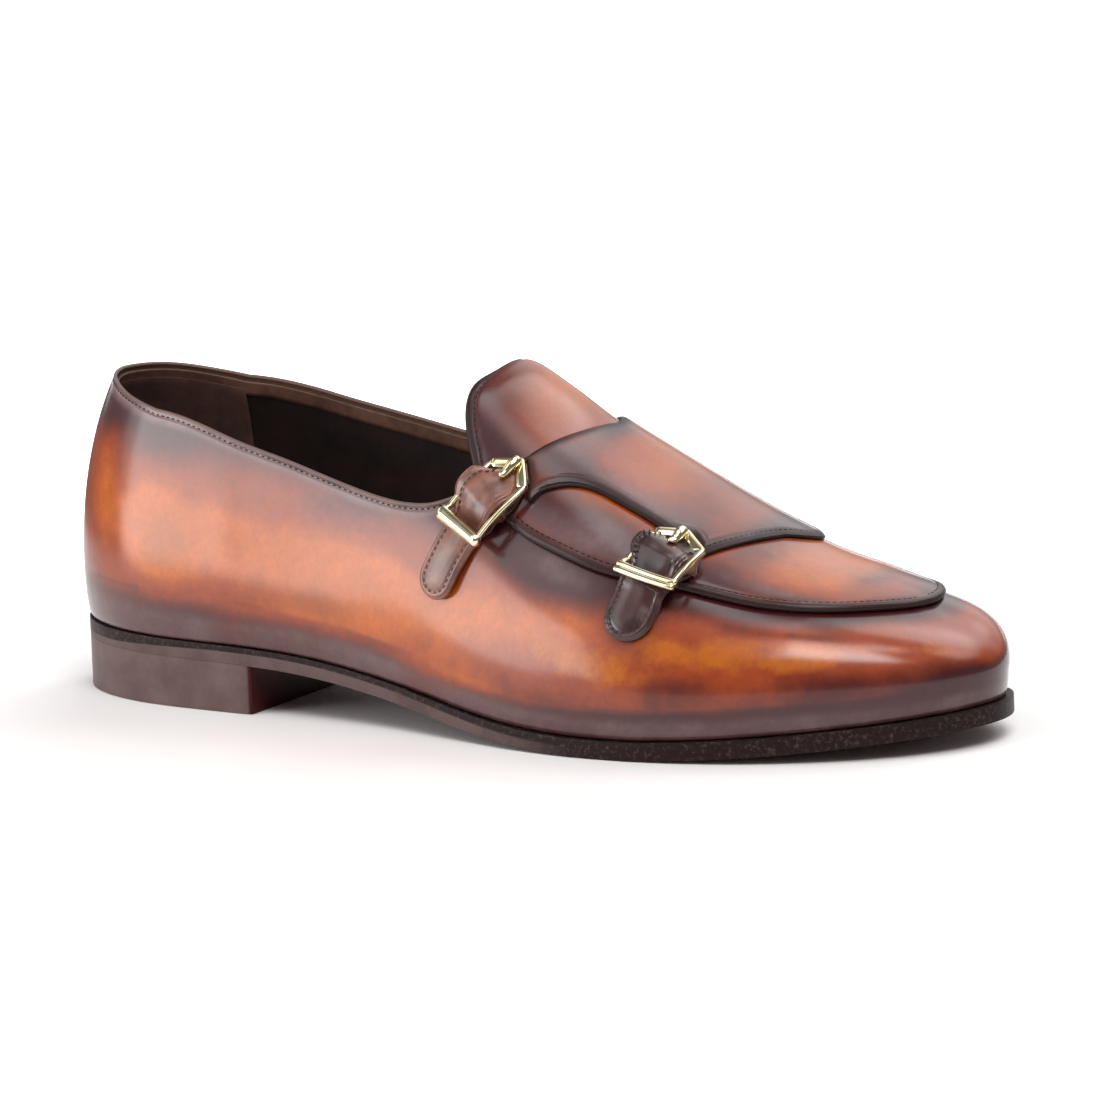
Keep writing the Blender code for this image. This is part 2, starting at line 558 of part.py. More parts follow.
pieces = [(make_outsole(), SOLE_EDGE, 0.45, 0.0), (make_heel(), SOLE_EDGE, 0.45, 0.0),
          (make_insole(), BOARD, 0.7, 0.0), (make_upper(), LEATHER, 0.35, 0.0),
          (make_apron(), LEATHER, 0.35, 0.0), (make_strap(), LEATHER, 0.35, 0.0)]
for end in ("rear", "front"):
    pieces += [(make_strip(end), DARK_LEATHER, 0.4, 0.0), (make_frame(end), GOLD, 0.25, 1.0),
               (make_prong(end), GOLD, 0.25, 1.0)]
for thing, colour, rough, metal in pieces:
    paint(thing, colour, rough, metal)

everything = np.array([v.co for thing, *_ in pieces for v in thing.data.vertices])
low, high = everything.min(0), everything.max(0)
shift = np.array([(low[0] + high[0]) / 2, (low[1] + high[1]) / 2, low[2]])
for thing, *_ in pieces:
    for v in thing.data.vertices:
        v.co = np.array(v.co) - shift
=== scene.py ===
import bmesh
import bpy
import numpy as np
from mathutils import Matrix, Vector


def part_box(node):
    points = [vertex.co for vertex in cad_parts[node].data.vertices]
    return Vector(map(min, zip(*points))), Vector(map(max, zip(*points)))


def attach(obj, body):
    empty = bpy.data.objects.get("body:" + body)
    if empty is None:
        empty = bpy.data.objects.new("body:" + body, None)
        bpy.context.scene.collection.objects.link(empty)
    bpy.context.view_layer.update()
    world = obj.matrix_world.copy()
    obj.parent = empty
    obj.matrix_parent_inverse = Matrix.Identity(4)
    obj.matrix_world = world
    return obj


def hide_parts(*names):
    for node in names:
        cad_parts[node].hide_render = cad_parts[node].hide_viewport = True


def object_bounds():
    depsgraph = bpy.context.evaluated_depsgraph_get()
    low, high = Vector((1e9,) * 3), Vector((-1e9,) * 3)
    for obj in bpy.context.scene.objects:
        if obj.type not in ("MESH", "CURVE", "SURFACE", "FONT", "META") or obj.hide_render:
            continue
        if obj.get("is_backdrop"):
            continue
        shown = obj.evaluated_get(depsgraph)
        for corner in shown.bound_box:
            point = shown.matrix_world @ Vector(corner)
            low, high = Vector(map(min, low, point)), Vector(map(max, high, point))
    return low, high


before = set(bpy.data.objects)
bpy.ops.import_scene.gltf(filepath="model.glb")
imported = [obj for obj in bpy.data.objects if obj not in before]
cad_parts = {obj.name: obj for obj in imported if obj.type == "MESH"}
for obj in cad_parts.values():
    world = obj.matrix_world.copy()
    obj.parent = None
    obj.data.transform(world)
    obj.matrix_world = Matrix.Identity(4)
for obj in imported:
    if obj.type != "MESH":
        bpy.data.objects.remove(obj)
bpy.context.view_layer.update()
print("frame loaded with", len(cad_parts), "solids")

# Lengths are millimetres until a mesh is made. s runs from the back of the sole to the toe,
# y is positive on the inner side of the foot. A place on the upper is (q, v): q the station
# along the shoe, turning round heel and toe, v the angle from the ridge, negative outside.
mm = 0.001

last = dict(
    sole=5.2, gap=0.3, wall=2.0, margin=12.0, insole=2.4, apron=2.0, strap=1.8, strip=2.2,
    breast=74.6, heelPivot=40.0, toePivot=254.0, back=-20.0, tip=306.0, toeFall=-0.27,
    outline=[  # s, y, inset of the feather line
        (0.0, 0.0, 1.0), (4.4, -13.0, 1.0), (13.2, -21.8, 1.0), (28.6, -29.6, 1.0),
        (50.0, -33.6, 1.0), (75.1, -35.2, 1.1), (99.8, -36.6, 1.2), (124.1, -39.8, 1.4),
        (148.7, -45.6, 1.8), (174.3, -51.2, 2.2), (195.0, -53.0, 2.4), (211.9, -52.2, 2.4),
        (229.6, -49.0, 2.4), (249.9, -42.2, 2.4), (268.5, -32.4, 2.4), (284.0, -19.8, 2.4),
        (294.2, -5.6, 2.4), (298.0, 8.0, 2.4), (295.8, 19.0, 2.4), (288.8, 29.4, 2.4),
        (277.0, 37.2, 2.4), (261.7, 42.8, 2.4), (242.9, 46.8, 2.4), (222.0, 48.0, 2.4),
        (200.1, 45.3, 2.3), (178.0, 38.9, 2.0), (153.0, 31.4, 1.6), (128.0, 27.6, 1.3),
        (103.0, 28.2, 1.2), (78.0, 30.4, 1.1), (52.0, 32.2, 1.0), (28.6, 29.6, 1.0),
        (13.2, 22.0, 1.0), (4.4, 12.6, 1.0), (0.0, 0.0, 1.0)],
    underside=[  # s, height of the outsole's underside
        (-12.0, 15.8), (0.0, 15.5), (40.0, 14.7), (72.0, 14.2), (90.0, 13.2), (110.0, 10.8),
        (130.0, 7.6), (150.0, 4.0), (170.0, 1.3), (190.0, 0.05), (205.0, -0.1), (220.0, 0.45),
        (240.0, 1.6), (260.0, 3.2), (280.0, 4.9), (298.0, 6.6), (310.0, 7.8)],
    ridge=[  # s, y, height
        (40.0, 0.0, 118.0), (72.0, 0.5, 119.0), (100.0, 1.5, 117.0), (130.0, 3.0, 109.0),
        (150.0, 4.5, 98.4), (170.0, 5.5, 85.6), (190.0, 6.0, 73.8), (210.0, 6.0, 62.4),
        (226.0, 6.0, 54.4), (240.0, 6.0, 48.9), (254.0, 6.0, 45.2)],
    section=[  # q, outer side: bulge past the feather, its rise, fullness; then the inner side
        (-20.0, 2.0, 16.0, 1.75, 2.0, 16.0, 1.75), (10.0, 1.9, 16.0, 1.8, 1.9, 16.0, 1.8),
        (40.0, 1.8, 15.0, 2.0, 1.8, 15.0, 2.0), (72.0, 1.8, 14.0, 2.0, 1.8, 14.0, 2.0),
        (100.0, 1.6, 13.0, 2.0, 2.5, 15.0, 2.0), (130.0, 1.6, 12.0, 2.0, 3.0, 16.0, 2.0),
        (160.0, 1.5, 11.0, 2.0, 2.5, 14.0, 2.0), (190.0, 1.4, 10.0, 2.1, 1.8, 11.0, 2.1),
        (220.0, 1.3, 9.5, 2.2, 1.4, 10.0, 2.2), (254.0, 1.2, 9.0, 2.4, 1.2, 9.0, 2.4),
        (280.0, 1.1, 8.5, 2.5, 1.1, 8.5, 2.5), (306.0, 1.0, 8.0, 2.6, 1.0, 8.0, 2.6)])

topEdge = {  # q, v of the collar, the throat, then the edge hidden under the apron
    -1: [(-20.0, 45.5), (0.0, 46.8), (18.8, 49.2), (49.5, 53.0), (68.9, 57.2), (86.1, 59.8),
         (114.0, 62.2), (132.8, 60.1), (141.0, 56.8), (150.0, 50.5), (159.0, 45.0),
         (168.0, 43.6), (183.0, 43.8), (199.0, 42.4), (209.0, 39.6), (220.0, 36.6),
         (234.0, 34.2), (250.0, 31.2), (265.6, 25.8), (290.0, 19.0), (306.0, 17.0)],
    1: [(-20.0, 45.5), (-1.5, 45.9), (25.8, 48.5), (53.6, 51.3), (78.0, 54.7), (102.3, 57.0),
        (116.0, 57.4), (130.0, 56.0), (142.0, 52.4), (150.0, 48.6), (159.0, 45.4),
        (168.0, 44.8), (190.0, 45.8), (205.0, 45.4), (221.0, 43.6), (233.0, 40.8),
        (245.3, 37.6), (255.0, 34.0), (266.6, 29.6), (279.4, 24.6), (292.0, 19.9),
        (306.0, 17.0)]}


def spline(knots, values, at, closed=False):
    t = np.asarray(knots, float)
    y = np.asarray(values, float).reshape(len(t), -1)
    n, h = len(t), np.diff(t)
    m = n - 1 if closed else n
    a, b = np.eye(m), np.zeros((m, y.shape[1]))
    for i in range(0 if closed else 1, n - 1):
        left = h[i - 1]
        a[i, i] = 2 * (left + h[i])
        a[i, i - 1] = left
        a[i, (i + 1) % m] = h[i]
        before = y[i - 1] if i or not closed else y[m - 1]
        b[i] = 6 * ((y[i + 1] - y[i]) / h[i] - (y[i] - before) / left)
    k = np.linalg.solve(a, b)
    if closed:
        k = np.vstack([k, k[:1]])
    at = np.asarray(at, float)
    i = np.clip(np.searchsorted(t, at, side="right") - 1, 0, n - 2)
    d, w = (at - t[i])[..., None], h[i][..., None]
    e = w - d
    return ((k[i] * e ** 3 + k[i + 1] * d ** 3) / (6 * w) + (y[i] / w - k[i] * w / 6) * e
            + (y[i + 1] / w - k[i + 1] * w / 6) * d)


def curve(table, at):
    table = np.asarray(table, float)
    return spline(table[:, 0], table[:, 1:], at)


def ease(x):
    x = np.clip(x, 0, 1)
    return x * x * (3 - 2 * x)


def hump(x, wide):
    return np.exp(-(np.asarray(x) / wide) ** 2)


def runOf(points):  # how far along a line each of its points is
    return np.r_[0, np.cumsum(np.linalg.norm(np.diff(points, axis=0), axis=1))]


def along(points, at):
    p = np.asarray(points, float)
    run = runOf(p)
    return spline(run / run[-1], p, at)


def unit(v):
    return v / np.maximum(np.linalg.norm(v, axis=-1, keepdims=True), 1e-12)


def planLoop(share, extra=0.0, count=1440):
    p = np.asarray(last["outline"], float)
    run = np.r_[0, np.cumsum(np.hypot(*np.diff(p[:, :2], axis=0).T))]
    loop = spline(run, p, np.linspace(0, run[-1], count, endpoint=False), closed=True)
    step = np.roll(loop[:, :2], -1, 0) - np.roll(loop[:, :2], 1, 0)
    inward = np.c_[-step[:, 1], step[:, 0]] / np.hypot(*step.T)[:, None]
    return loop[:, :2] + inward * (share * loop[:, 2:3] - extra)


def widths(loop, s):
    back, tip = loop[:, 0].argmin(), loop[:, 0].argmax()
    ring = np.vstack([loop[back:], loop[:back]])
    tip = (tip - back) % len(loop)
    outer, inner = ring[:tip + 1], np.vstack([ring[tip:], ring[:1]])[::-1]
    return np.interp(s, outer[:, 0], outer[:, 1]), np.interp(s, inner[:, 0], inner[:, 1])


def soleUnder(s):
    return np.maximum(curve(last["underside"], s)[..., 0], 0.0)


def soleTop(s):
    return soleUnder(s) + last["sole"]


feather = planLoop(1.0, count=720)


def reach(base, way):  # how far the feather line is from each base along way
    a, e = feather, np.roll(feather, -1, 0) - feather
    w = a[None] - base[:, None]
    cross = way[:, None, 0] * e[None, :, 1] - way[:, None, 1] * e[None, :, 0]
    cross = np.where(np.abs(cross) < 1e-12, 1e-12, cross)
    far = (w[..., 0] * e[None, :, 1] - w[..., 1] * e[None, :, 0]) / cross
    part = (w[..., 0] * way[:, None, 1] - w[..., 1] * way[:, None, 0]) / cross
    return np.where((part > -1e-6) & (part < 1 + 1e-6) & (far > 0), far, 0).max(1)


def sections(side):
    heelPivot, toePivot, back, tip = (last[k] for k in ("heelPivot", "toePivot", "back", "tip"))
    q = np.linspace(back, tip, 1305)
    s = np.clip(q, heelPivot, toePivot)
    turn = (np.clip((q - toePivot) / (tip - toePivot), 0, 1)
            - np.clip((heelPivot - q) / (heelPivot - back), 0, 1)) * np.pi / 2
    y, ridge = curve(last["ridge"], s).T
    base = np.c_[s, y]
    way = np.c_[np.sin(turn), side * np.cos(turn)]
    foot = reach(base, way)
    edge = base + way * foot[:, None]
    shape = curve(last["section"], q)[:, :3] if side < 0 else curve(last["section"], q)[:, 3:]
    low = soleTop(edge[:, 0]) + last["gap"]
    return q, np.c_[base, way, foot, low, foot + shape[:, 0], low + shape[:, 1], shape[:, 2],
                    ridge, np.where(turn > 0, last["toeFall"], 0.0)]


sectionTables = {-1: sections(-1), 1: sections(1)}


# The big toe's fullness, laid on the last
toePuff = dict(rise=2.7, q=286.0, v=55.0, alongQ=15.0, alongV=26.0, end=305.5, fade=10.0)


def skin(q, v, off=0.0):  # the upper's outer face, moved outward by off
    q, v, off = np.broadcast_arrays(np.asarray(q, float), np.asarray(v, float),
                                    np.asarray(off, float))
    puff = hump(q - toePuff["q"], toePuff["alongQ"]) * hump(v - toePuff["v"], toePuff["alongV"])
    off = off + toePuff["rise"] * puff * ease((toePuff["end"] - q) / toePuff["fade"])
    values = np.where((v < 0)[..., None], *[
        np.stack([np.interp(q, sectionTables[side][0], col)
                  for col in sectionTables[side][1].T], -1) for side in (-1, 1)])
    bx, by, wx, wy, foot, low, wide, high, full, ridge, fall = np.moveaxis(values, -1, 0)
    t = np.radians(90 - np.abs(v))
    cos, sin = np.clip(np.cos(t), 0, 1), np.clip(np.sin(t), 0, 1)
    rUp = (wide + off) * cos ** (2 / full)
    zUp = high + (ridge + off + fall * rUp * wx - high) * sin ** (2 / np.maximum(full, 2.0))
    rLow = foot + off + (wide - foot) * np.sin(t + np.pi / 2)
    zLow = low - off + (high - low + off) * (1 - np.cos(t + np.pi / 2))
    r, z = np.where(t >= 0, rUp, rLow), np.where(t >= 0, zUp, zLow)
    return np.stack([bx + wx * r, by + wy * r, z], -1)


def endStations(start, stop, count, both=True):  # closer together at the ends
    u = np.linspace(0, 1, count)
    u = (1 - np.cos(np.pi * u)) / 2 if both else 1 - np.cos(np.pi / 2 * u)
    return start + (stop - start) * u


def toFrame():  # where the last stands in the frame, from the outsole's box
    loop = planLoop(0.0, count=720)
    s = endStations(loop[:, 0].min(), loop[:, 0].max(), 54)
    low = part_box("outsole")[0]
    return np.array([low.x - s[0] * mm, low.y - widths(loop, s)[0].min() * mm, low.z])


origin = toFrame()
print("last placed at", np.round(origin, 5).tolist())


def fill(tree, node, values):  # the inputs of a node, linked or set
    for key, value in values.items():
        socket = node.inputs[key]
        if isinstance(value, bpy.types.NodeSocket):
            tree.links.new(value, socket)
        else:
            socket.default_value = value


def addNode(tree, kind, links=None, **settings):
    node = tree.nodes.new(kind)
    for key, value in settings.items():
        setattr(node, key, value)
    fill(tree, node, links or {})
    return node


def addObject(name, data):
    thing = bpy.data.objects.new(name, data)
    bpy.context.collection.objects.link(thing)
    return thing


def setMark(mesh, key, values, kind="FLOAT", part="value"):  # a value at each point
    mark = mesh.attributes.new(key, kind, "POINT")
    mark.data.foreach_set(part, np.ravel(values).astype(np.float32))


def meshPiece(name, points, faces, marks=None):
    mesh = bpy.data.meshes.new(name)
    mesh.from_pydata((np.asarray(points, float) * mm + origin).tolist(), [], faces)
    for key, values in (marks or {}).items():
        setMark(mesh, key, values)
    mesh.shade_smooth()
    return addObject(name, mesh)


# A closed shell between an outer and an inner grid of points, with rounded rims
def shell(name, outer, inner, marks=None, rim=0.6, rings=3, rimOut=None, square=1.0):
    rows, cols = outer.shape[:2]
    flat = outer.reshape(-1, 3)
    _, first, spot = np.unique(np.round(flat, 3), axis=0, return_index=True, return_inverse=True)
    spot = spot.reshape(rows, cols)
    out, inn = flat[first], inner.reshape(-1, 3)[first]
    quads = np.stack([spot[:-1, :-1], spot[1:, :-1], spot[1:, 1:], spot[:-1, 1:]], -1)
    faces = []
    for quad in quads.reshape(-1, 4).tolist():
        face = [p for k, p in enumerate(quad) if p != quad[k - 1]]
        if len(set(face)) > 2:
            faces.append(face)
    # turned about when most faces look towards the inner grid
    sides = [np.cross(out[f[1]] - out[f[0]], out[f[2]] - out[f[0]]) @ (out[f[0]] - inn[f[0]])
             for f in faces[::7]]
    if np.sum(np.sign(sides)) < 0:
        faces = [f[::-1] for f in faces]
    edges = {(f[k - 1], f[k]) for f in faces for k in range(len(f))}
    rimEdges = sorted((a, b) for a, b in edges if (b, a) not in edges)
    n = len(out)
    away = np.zeros((n, 3))
    for a, b in rimEdges:
        push = np.cross(unit(out[b] - out[a]), unit(out[a] + out[b] - inn[a] - inn[b]))
        away[a] += push
        away[b] += push
    rimSpots = sorted({a for edge in rimEdges for a in edge})
    order = {p: i for i, p in enumerate(rimSpots)}
    middle, half = (out + inn)[rimSpots] / 2, (out - inn)[rimSpots] / 2
    far = np.linalg.norm(half, axis=1)[:, None] * rim if rimOut is None else rimOut
    bulge = unit(away[rimSpots]) * far
    turns = np.pi * np.arange(1, rings + 1) / (rings + 1)
    rolled = [middle + half * np.sign(np.cos(t)) * abs(np.cos(t)) ** square
              + bulge * np.sin(t) ** square for t in turns]
    points = np.vstack([out, inn, *rolled])
    layers = [dict(zip(rimSpots, rimSpots))]
    layers += [{p: 2 * n + k * len(rimSpots) + i for p, i in order.items()} for k in range(rings)]
    layers.append({p: p + n for p in rimSpots})
    body = faces + [[p + n for p in f[::-1]] for f in faces]
    for one, two in zip(layers, layers[1:]):
        body += [[one[b], one[a], two[a], two[b]] for a, b in rimEdges]
    spread = {"under": np.r_[np.zeros(n), np.ones(n), np.full(rings * len(rimSpots), 0.3)]}
    for key, values in (marks or {}).items():
        flatValues = np.broadcast_to(values, (rows, cols)).reshape(-1)[first]
        spread[key] = np.r_[flatValues, flatValues, np.tile(flatValues[rimSpots], rings)]
    return meshPiece(name, points, body, spread)


def edgeDistance(points, border):  # shortest way from each point to a polyline
    a, step = border[:-1], np.diff(border, axis=0)
    length = np.maximum((step * step).sum(1), 1e-12)
    flat = points.reshape(-1, 3)
    best = np.empty(len(flat))
    for start in range(0, len(flat), 4000):
        part = flat[start:start + 4000, None] - a[None]
        t = np.clip((part * step[None]).sum(-1) / length, 0, 1)
        gap = np.linalg.norm(part - t[..., None] * step[None], axis=-1)
        best[start:start + 4000] = gap.min(1)
    return best.reshape(points.shape[:-1])


def borderOf(grid):  # three sides of a grid, all but its last row
    return np.vstack([grid[::-1, 0], grid[0], grid[:, -1]])


def outward(q, v):
    return unit(skin(q, v, 0.5) - skin(q, v, -0.5))


def dabs(table, q, v):  # soft patches: q, v, spread along, spread across, strength
    total = np.zeros(np.broadcast(q, v).shape)
    for q0, v0, dq, dv, strength in table:
        total += strength * np.exp(-((q - q0) / dq) ** 2 - ((v - v0) / dv) ** 2)
    return total


# The upper: quarters and vamp in one piece of leather
upper = dict(
    leather=1.25,        # thickness above the lining
    edgeFold=0.22,       # how proud the turned topline stands
    stitchIn=1.5,        # row of stitches below the topline
    rows=(34, 120, 38),  # stations round the heel, along the sides and round the toe
    lower=16, middle=26,  # grid rows under the foot and up the wall
    open=(160.0, 8.0),   # q where the collar ends, how fast
    near=(0.0, 0.3, 0.6, 0.9, 1.2, 1.5, 1.8, 2.05, 2.3, 2.55, 2.8, 3.2, 3.8, 4.6, 5.6),
    hollows=[  # q, v, spread along, spread across, depth
        (92.0, -76.0, 30.0, 9.0, -0.45), (66.0, -80.0, 6.0, 26.0, 0.22),
        (128.0, -72.0, 14.0, 8.0, 0.3), (160.0, -74.0, 16.0, 10.0, -0.35),
        (188.0, -66.0, 12.0, 8.0, 0.25), (40.0, -66.0, 20.0, 7.0, -0.2),
        (96.0, 76.0, 30.0, 10.0, -0.5), (66.0, 80.0, 6.0, 26.0, 0.22),
        (140.0, 74.0, 16.0, 9.0, 0.3), (236.0, 66.0, 16.0, 10.0, 0.2)])


def swell(q, v):
    return dabs(upper["hollows"], q, v) * ease((300 - q) / 20)


def fromEdge(side, q, near, more):  # v of rows at set distances under the top edge, then to 90
    top = curve(topEdge[side], q)[:, 0]
    u = np.linspace(0, 1, 240)
    v = top[:, None] + (90 - top)[:, None] * u[None]
    spots = skin(q[:, None], side * v)
    run = np.concatenate([np.zeros((len(q), 1)), np.cumsum(
        np.linalg.norm(np.diff(spots, axis=1), axis=2), axis=1)], 1)
    rest = near[-1] + (run[:, -1:] - near[-1]) * np.linspace(0, 1, more + 1)[None, 1:]
    depth = np.hstack([np.repeat(np.array(near)[None], len(q), 0), rest])
    return np.array([np.interp(d, r, line) for d, r, line in zip(depth, run, v)]), depth


def ringStations(heel, side, toe):
    heelPivot, toePivot, back, tip = (last[k] for k in ("heelPivot", "toePivot", "back", "tip"))
    return np.r_[np.linspace(back, heelPivot, heel), np.linspace(heelPivot, toePivot, side)[1:],
                 np.linspace(toePivot, tip, toe)[1:]]


def roundTheHeel(half):  # rows of the outer side backwards, then those of the inner side
    return [np.concatenate([a[::-1], b[1:]]) for a, b in zip(half(-1), half(1))]


def across(q, count):  # the same stations for every row of a grid
    return np.repeat(q[:, None], count, 1)


def upperGrid():
    q, low = ringStations(*upper["rows"]), np.linspace(180, 94, upper["lower"])

    def half(side):
        v, depth = fromEdge(side, q, upper["near"], upper["middle"])
        v = side * np.hstack([np.repeat(low[None], len(q), 0), v[:, ::-1]])
        depth = np.hstack([np.full((len(q), len(low)), 60.0), depth[:, ::-1]])
        return across(q, v.shape[1]), v, depth
    return roundTheHeel(half)


def turnedIn(q, v, off):  # the lasting margin under the foot, for the first row of a grid
    spots = []
    for qi, vi in zip(q, v):
        side = -1 if vi < 0 else 1
        values = [np.interp(qi, sectionTables[side][0], col) for col in sectionTables[side][1].T]
        base, way, foot = np.array(values[0:2]), np.array(values[2:4]), values[4]
        line = [base + way * (foot - far) for far in (last["margin"], last["margin"] / 2)]
        spots.append([[*p, soleTop(p[0]) + last["gap"] - off] for p in line])
    return np.array(spots)


upperPatina = dict(
    top={  # q, v where the dark band under the topline and the apron ends
        -1: [(-20, 57), (0, 58), (24, 60), (45, 62), (70, 63), (95, 65), (120, 65.5),
             (140, 64), (156, 61), (172, 63), (190, 62.5), (206, 60.5), (222, 55), (240, 51),
             (260, 46), (280, 40), (306, 34)],
        1: [(-20, 57), (0, 58), (30, 60), (60, 62), (95, 64), (125, 64), (150, 61), (180, 61),
            (206, 60), (222, 55), (240, 51), (262, 46), (284, 40), (306, 34)]},
    low={  # q, v where the smoky band above the sole starts, its strength
        -1: [(-20, 92, 0.85), (0, 94, 0.85), (20, 97, 0.82), (45, 101, 0.84), (75, 105, 0.84),
             (100, 109, 0.8), (130, 112, 0.74), (155, 112, 0.72), (175, 103, 0.82),
             (195, 97, 0.9), (225, 92, 0.92), (255, 89, 0.94), (280, 86, 0.98),
             (306, 82, 0.98)],
        1: [(-20, 92, 0.85), (0, 94, 0.85), (25, 98, 0.82), (60, 102, 0.84), (95, 107, 0.8),
            (130, 110, 0.76), (160, 105, 0.8), (190, 97, 0.9), (225, 92, 0.92),
            (255, 89, 0.94), (280, 86, 0.98), (306, 82, 0.98)]},
    soft=6.0, lowSoft=15.0,     # half the fade of the dark band and of the smoky band
    toplineSmokeSheen=(0.8, 5.5, 3.5),   # grey smoke along the topline, partly painted sheen: strength, reach, fade
    lowFloorSheen=(0.42, 100, 28),  # painted reflection of the floor, grey low on the sides: strength, v where it starts, fade
    burnish=[(97, -87, 16, 4, 0.4), (-18, -66, 10, 10, 0.5), (172, -60, 12, 6, 0.45),
             (296, -88, 14, 12, 0.5), (-18, 66, 10, 10, 0.5), (296, 88, 14, 12, 0.5),
             (96, -104, 12, 8, 0.2), (128, 74, 16, 7, 0.25), (60, -101, 10, 8, 0.2),
             (2, -52, 10, 8, 0.3)],
    amber=[(52, -78, 24, 12, 0.45), (118, -80, 20, 7, 0.3), (14, -72, 9, 12, 0.7),
           (36, -76, 13, 7, 1.0), (62, -78, 20, 6, 0.8), (96, -80, 26, 6, 0.95),
           (132, -79, 22, 6, 0.95), (170, -74, 18, 7, 0.8),
           (150, -96, 16, 12, 0.6), (92, -92, 14, 7, 0.6), (44, -84, 14, 4, 0.9),
           (116, -88, 20, 5, 0.5), (194, -70, 10, 6, 0.5), (256, -62, 14, 5, 0.7),
           (280, -60, 12, 6, 0.5), (14, 72, 10, 13, 0.8), (46, 77, 20, 7, 0.9),
           (84, 80, 22, 6, 0.8), (122, 80, 24, 7, 0.85), (160, 80, 18, 8, 0.7),
           (120, 98, 22, 8, 0.4), (258, 60, 16, 6, 0.7)],
    gold=[(291, -60, 8, 9, 0.7), (270, -60, 8, 7, 0.4), (44, -83, 12, 5, 0.3),
          (84, -77, 9, 5, 0.2), (202, -79, 13, 6, 0.85), (222, -69, 11, 6, 0.8),
          (240, -69, 12, 8, 0.8), (256, -70, 9, 5, 0.8), (24, -78, 7, 5, 0.5),
          (48, -79, 12, 5, 0.5), (76, -77, 14, 4, 0.4), (180, -77, 10, 6, 0.4),
          (12, -68, 4, 9, 0.35), (214, 78, 16, 8, 0.7), (240, 70, 14, 8, 0.8),
          (60, 78, 16, 6, 0.4), (20, 76, 8, 6, 0.4), (160, 78, 10, 5, 0.4)],
    # grey smoke, partly a smoky dye and partly painted sheen and reflection
    smoke_sheen=[(182, -56, 12, 4, 0.4), (20, -112, 20, 14, 0.2), (120, -120, 60, 14, 0.15),
           (176, 56, 14, 5, 0.3), (208, -98, 16, 8, 0.15)],
    red=[(268, -86, 20, 9, 0.85), (288, -76, 14, 9, 0.6), (226, -85, 12, 7, 0.8),
         (210, -68, 8, 7, 0.4), (60, -95, 40, 5, 0.4), (16, -94, 16, 6, 0.55),
         (120, -118, 50, 7, 0.4), (185, -92, 16, 6, 0.45), (22, -64, 5, 8, 0.45),
         (112, -66, 26, 3, 0.4), (250, -55, 22, 2.5, 0.4), (268, 85, 20, 10, 0.85),
         (228, 86, 14, 7, 0.7), (60, 94, 50, 5, 0.45), (24, 64, 6, 8, 0.4),
         (130, 112, 50, 7, 0.4), (288, 76, 14, 9, 0.6)])


def patinaMarks(table, q, v, edge):
    marks = {key: np.clip(dabs(table[key], q, v), 0, 1)
             for key in ("burnish", "amber", "gold", "red", "smoke_sheen")}
    marks["edge"] = np.clip(edge, 0, 30)
    return marks


def upperMarks(q, v, edge):
    marks, far, read = patinaMarks(upperPatina, q, v, edge), np.abs(v), upperPatina
    top, low, dense = [np.where(v < 0, curve(read[key][-1], q)[..., k],
                                curve(read[key][1], q)[..., k])
                       for key, k in (("top", 0), ("low", 0), ("low", 1))]
    soft, lowSoft = read["soft"], read["lowSoft"]
    above = np.clip((top + soft - far) / (2 * soft), 0, 1)
    below = ease((far - low + lowSoft) / (2 * lowSoft))
    below = below * (dense + (1 - dense) * ease((far - 135) / 35))
    # The grey smoke gains painted sheen along the topline and a painted reflection of the floor
    # low on the sides
    (rimStrong, reach, fade), (strong, start, spread) = read["toplineSmokeSheen"], read["lowFloorSheen"]
    marks["smoke_sheen"] = np.clip(marks["smoke_sheen"] + strong * ease((far - start) / spread)
                             + rimStrong * ease((reach - edge) / fade), 0, 1)
    marks["burnish"] = np.clip(np.maximum(above, below) + marks["burnish"], 0, 1)
    return marks


def makeUpper():
    q, v, depth = upperGrid()
    collar = ease((upper["open"][0] - q) / upper["open"][1])
    fold = upper["edgeFold"] * (hump(depth - 0.5, 1.1)
                                - 0.9 * hump(depth - upper["stitchIn"], 0.55))
    off = fold * collar + swell(q, v)
    outer, inner = [np.concatenate([turnedIn(q[:, 0], v[:, 0], -thick),
                                    skin(q, v, off - thick)], 1)
                    for thick in (0.0, upper["leather"])]
    marks = upperMarks(q, v, np.where(collar > 0.5, depth, 30))
    marks = {k: np.concatenate([m[:, :1], m[:, :1], m], 1) for k, m in marks.items()}
    return shell("upper_leather", outer, inner, marks, rim=0.5)


# Lining, heel lining and the band turned over under the topline
lining = dict(gap=0.05, thickness=0.6, bandDepth=5.2, bandThickness=0.35, bandEnd=152.0,
              heelReach=38.0, heelThickness=0.45, heelDrop=3.4)


def makeLining():
    q, v, _ = [grid[::2, :-3] for grid in upperGrid()]
    off = swell(q, v) - upper["leather"] - lining["gap"]
    outer, inner = [np.concatenate([turnedIn(q[:, 0], v[:, 0], under)[:, :1], skin(q, v, out)], 1)
                    for under, out in ((-upper["leather"] - lining["gap"], off),
                                       (-1.95, off - lining["thickness"]))]
    return shell("lining", outer, inner, rim=0.5, rings=2)


def innerPiece(name, half, gap, thick):  # a thin piece lying inside the lining
    q, v = roundTheHeel(half)
    off = swell(q, v) - upper["leather"] - gap - lining["thickness"]
    return shell(name, skin(q, v, off), skin(q, v, off - thick), rim=0.6, rings=2)


def makeBand():
    near = np.array([0.7, 1.2, 2.0, 3.0, 4.0, lining["bandDepth"]])
    q = ringStations(30, 60, 2)
    q = q[q < lining["bandEnd"]]

    def half(side):
        return across(q, len(near)), side * fromEdge(side, q, near, 1)[0][:, :len(near)]
    return innerPiece("topline_band", half, lining["gap"], lining["bandThickness"])


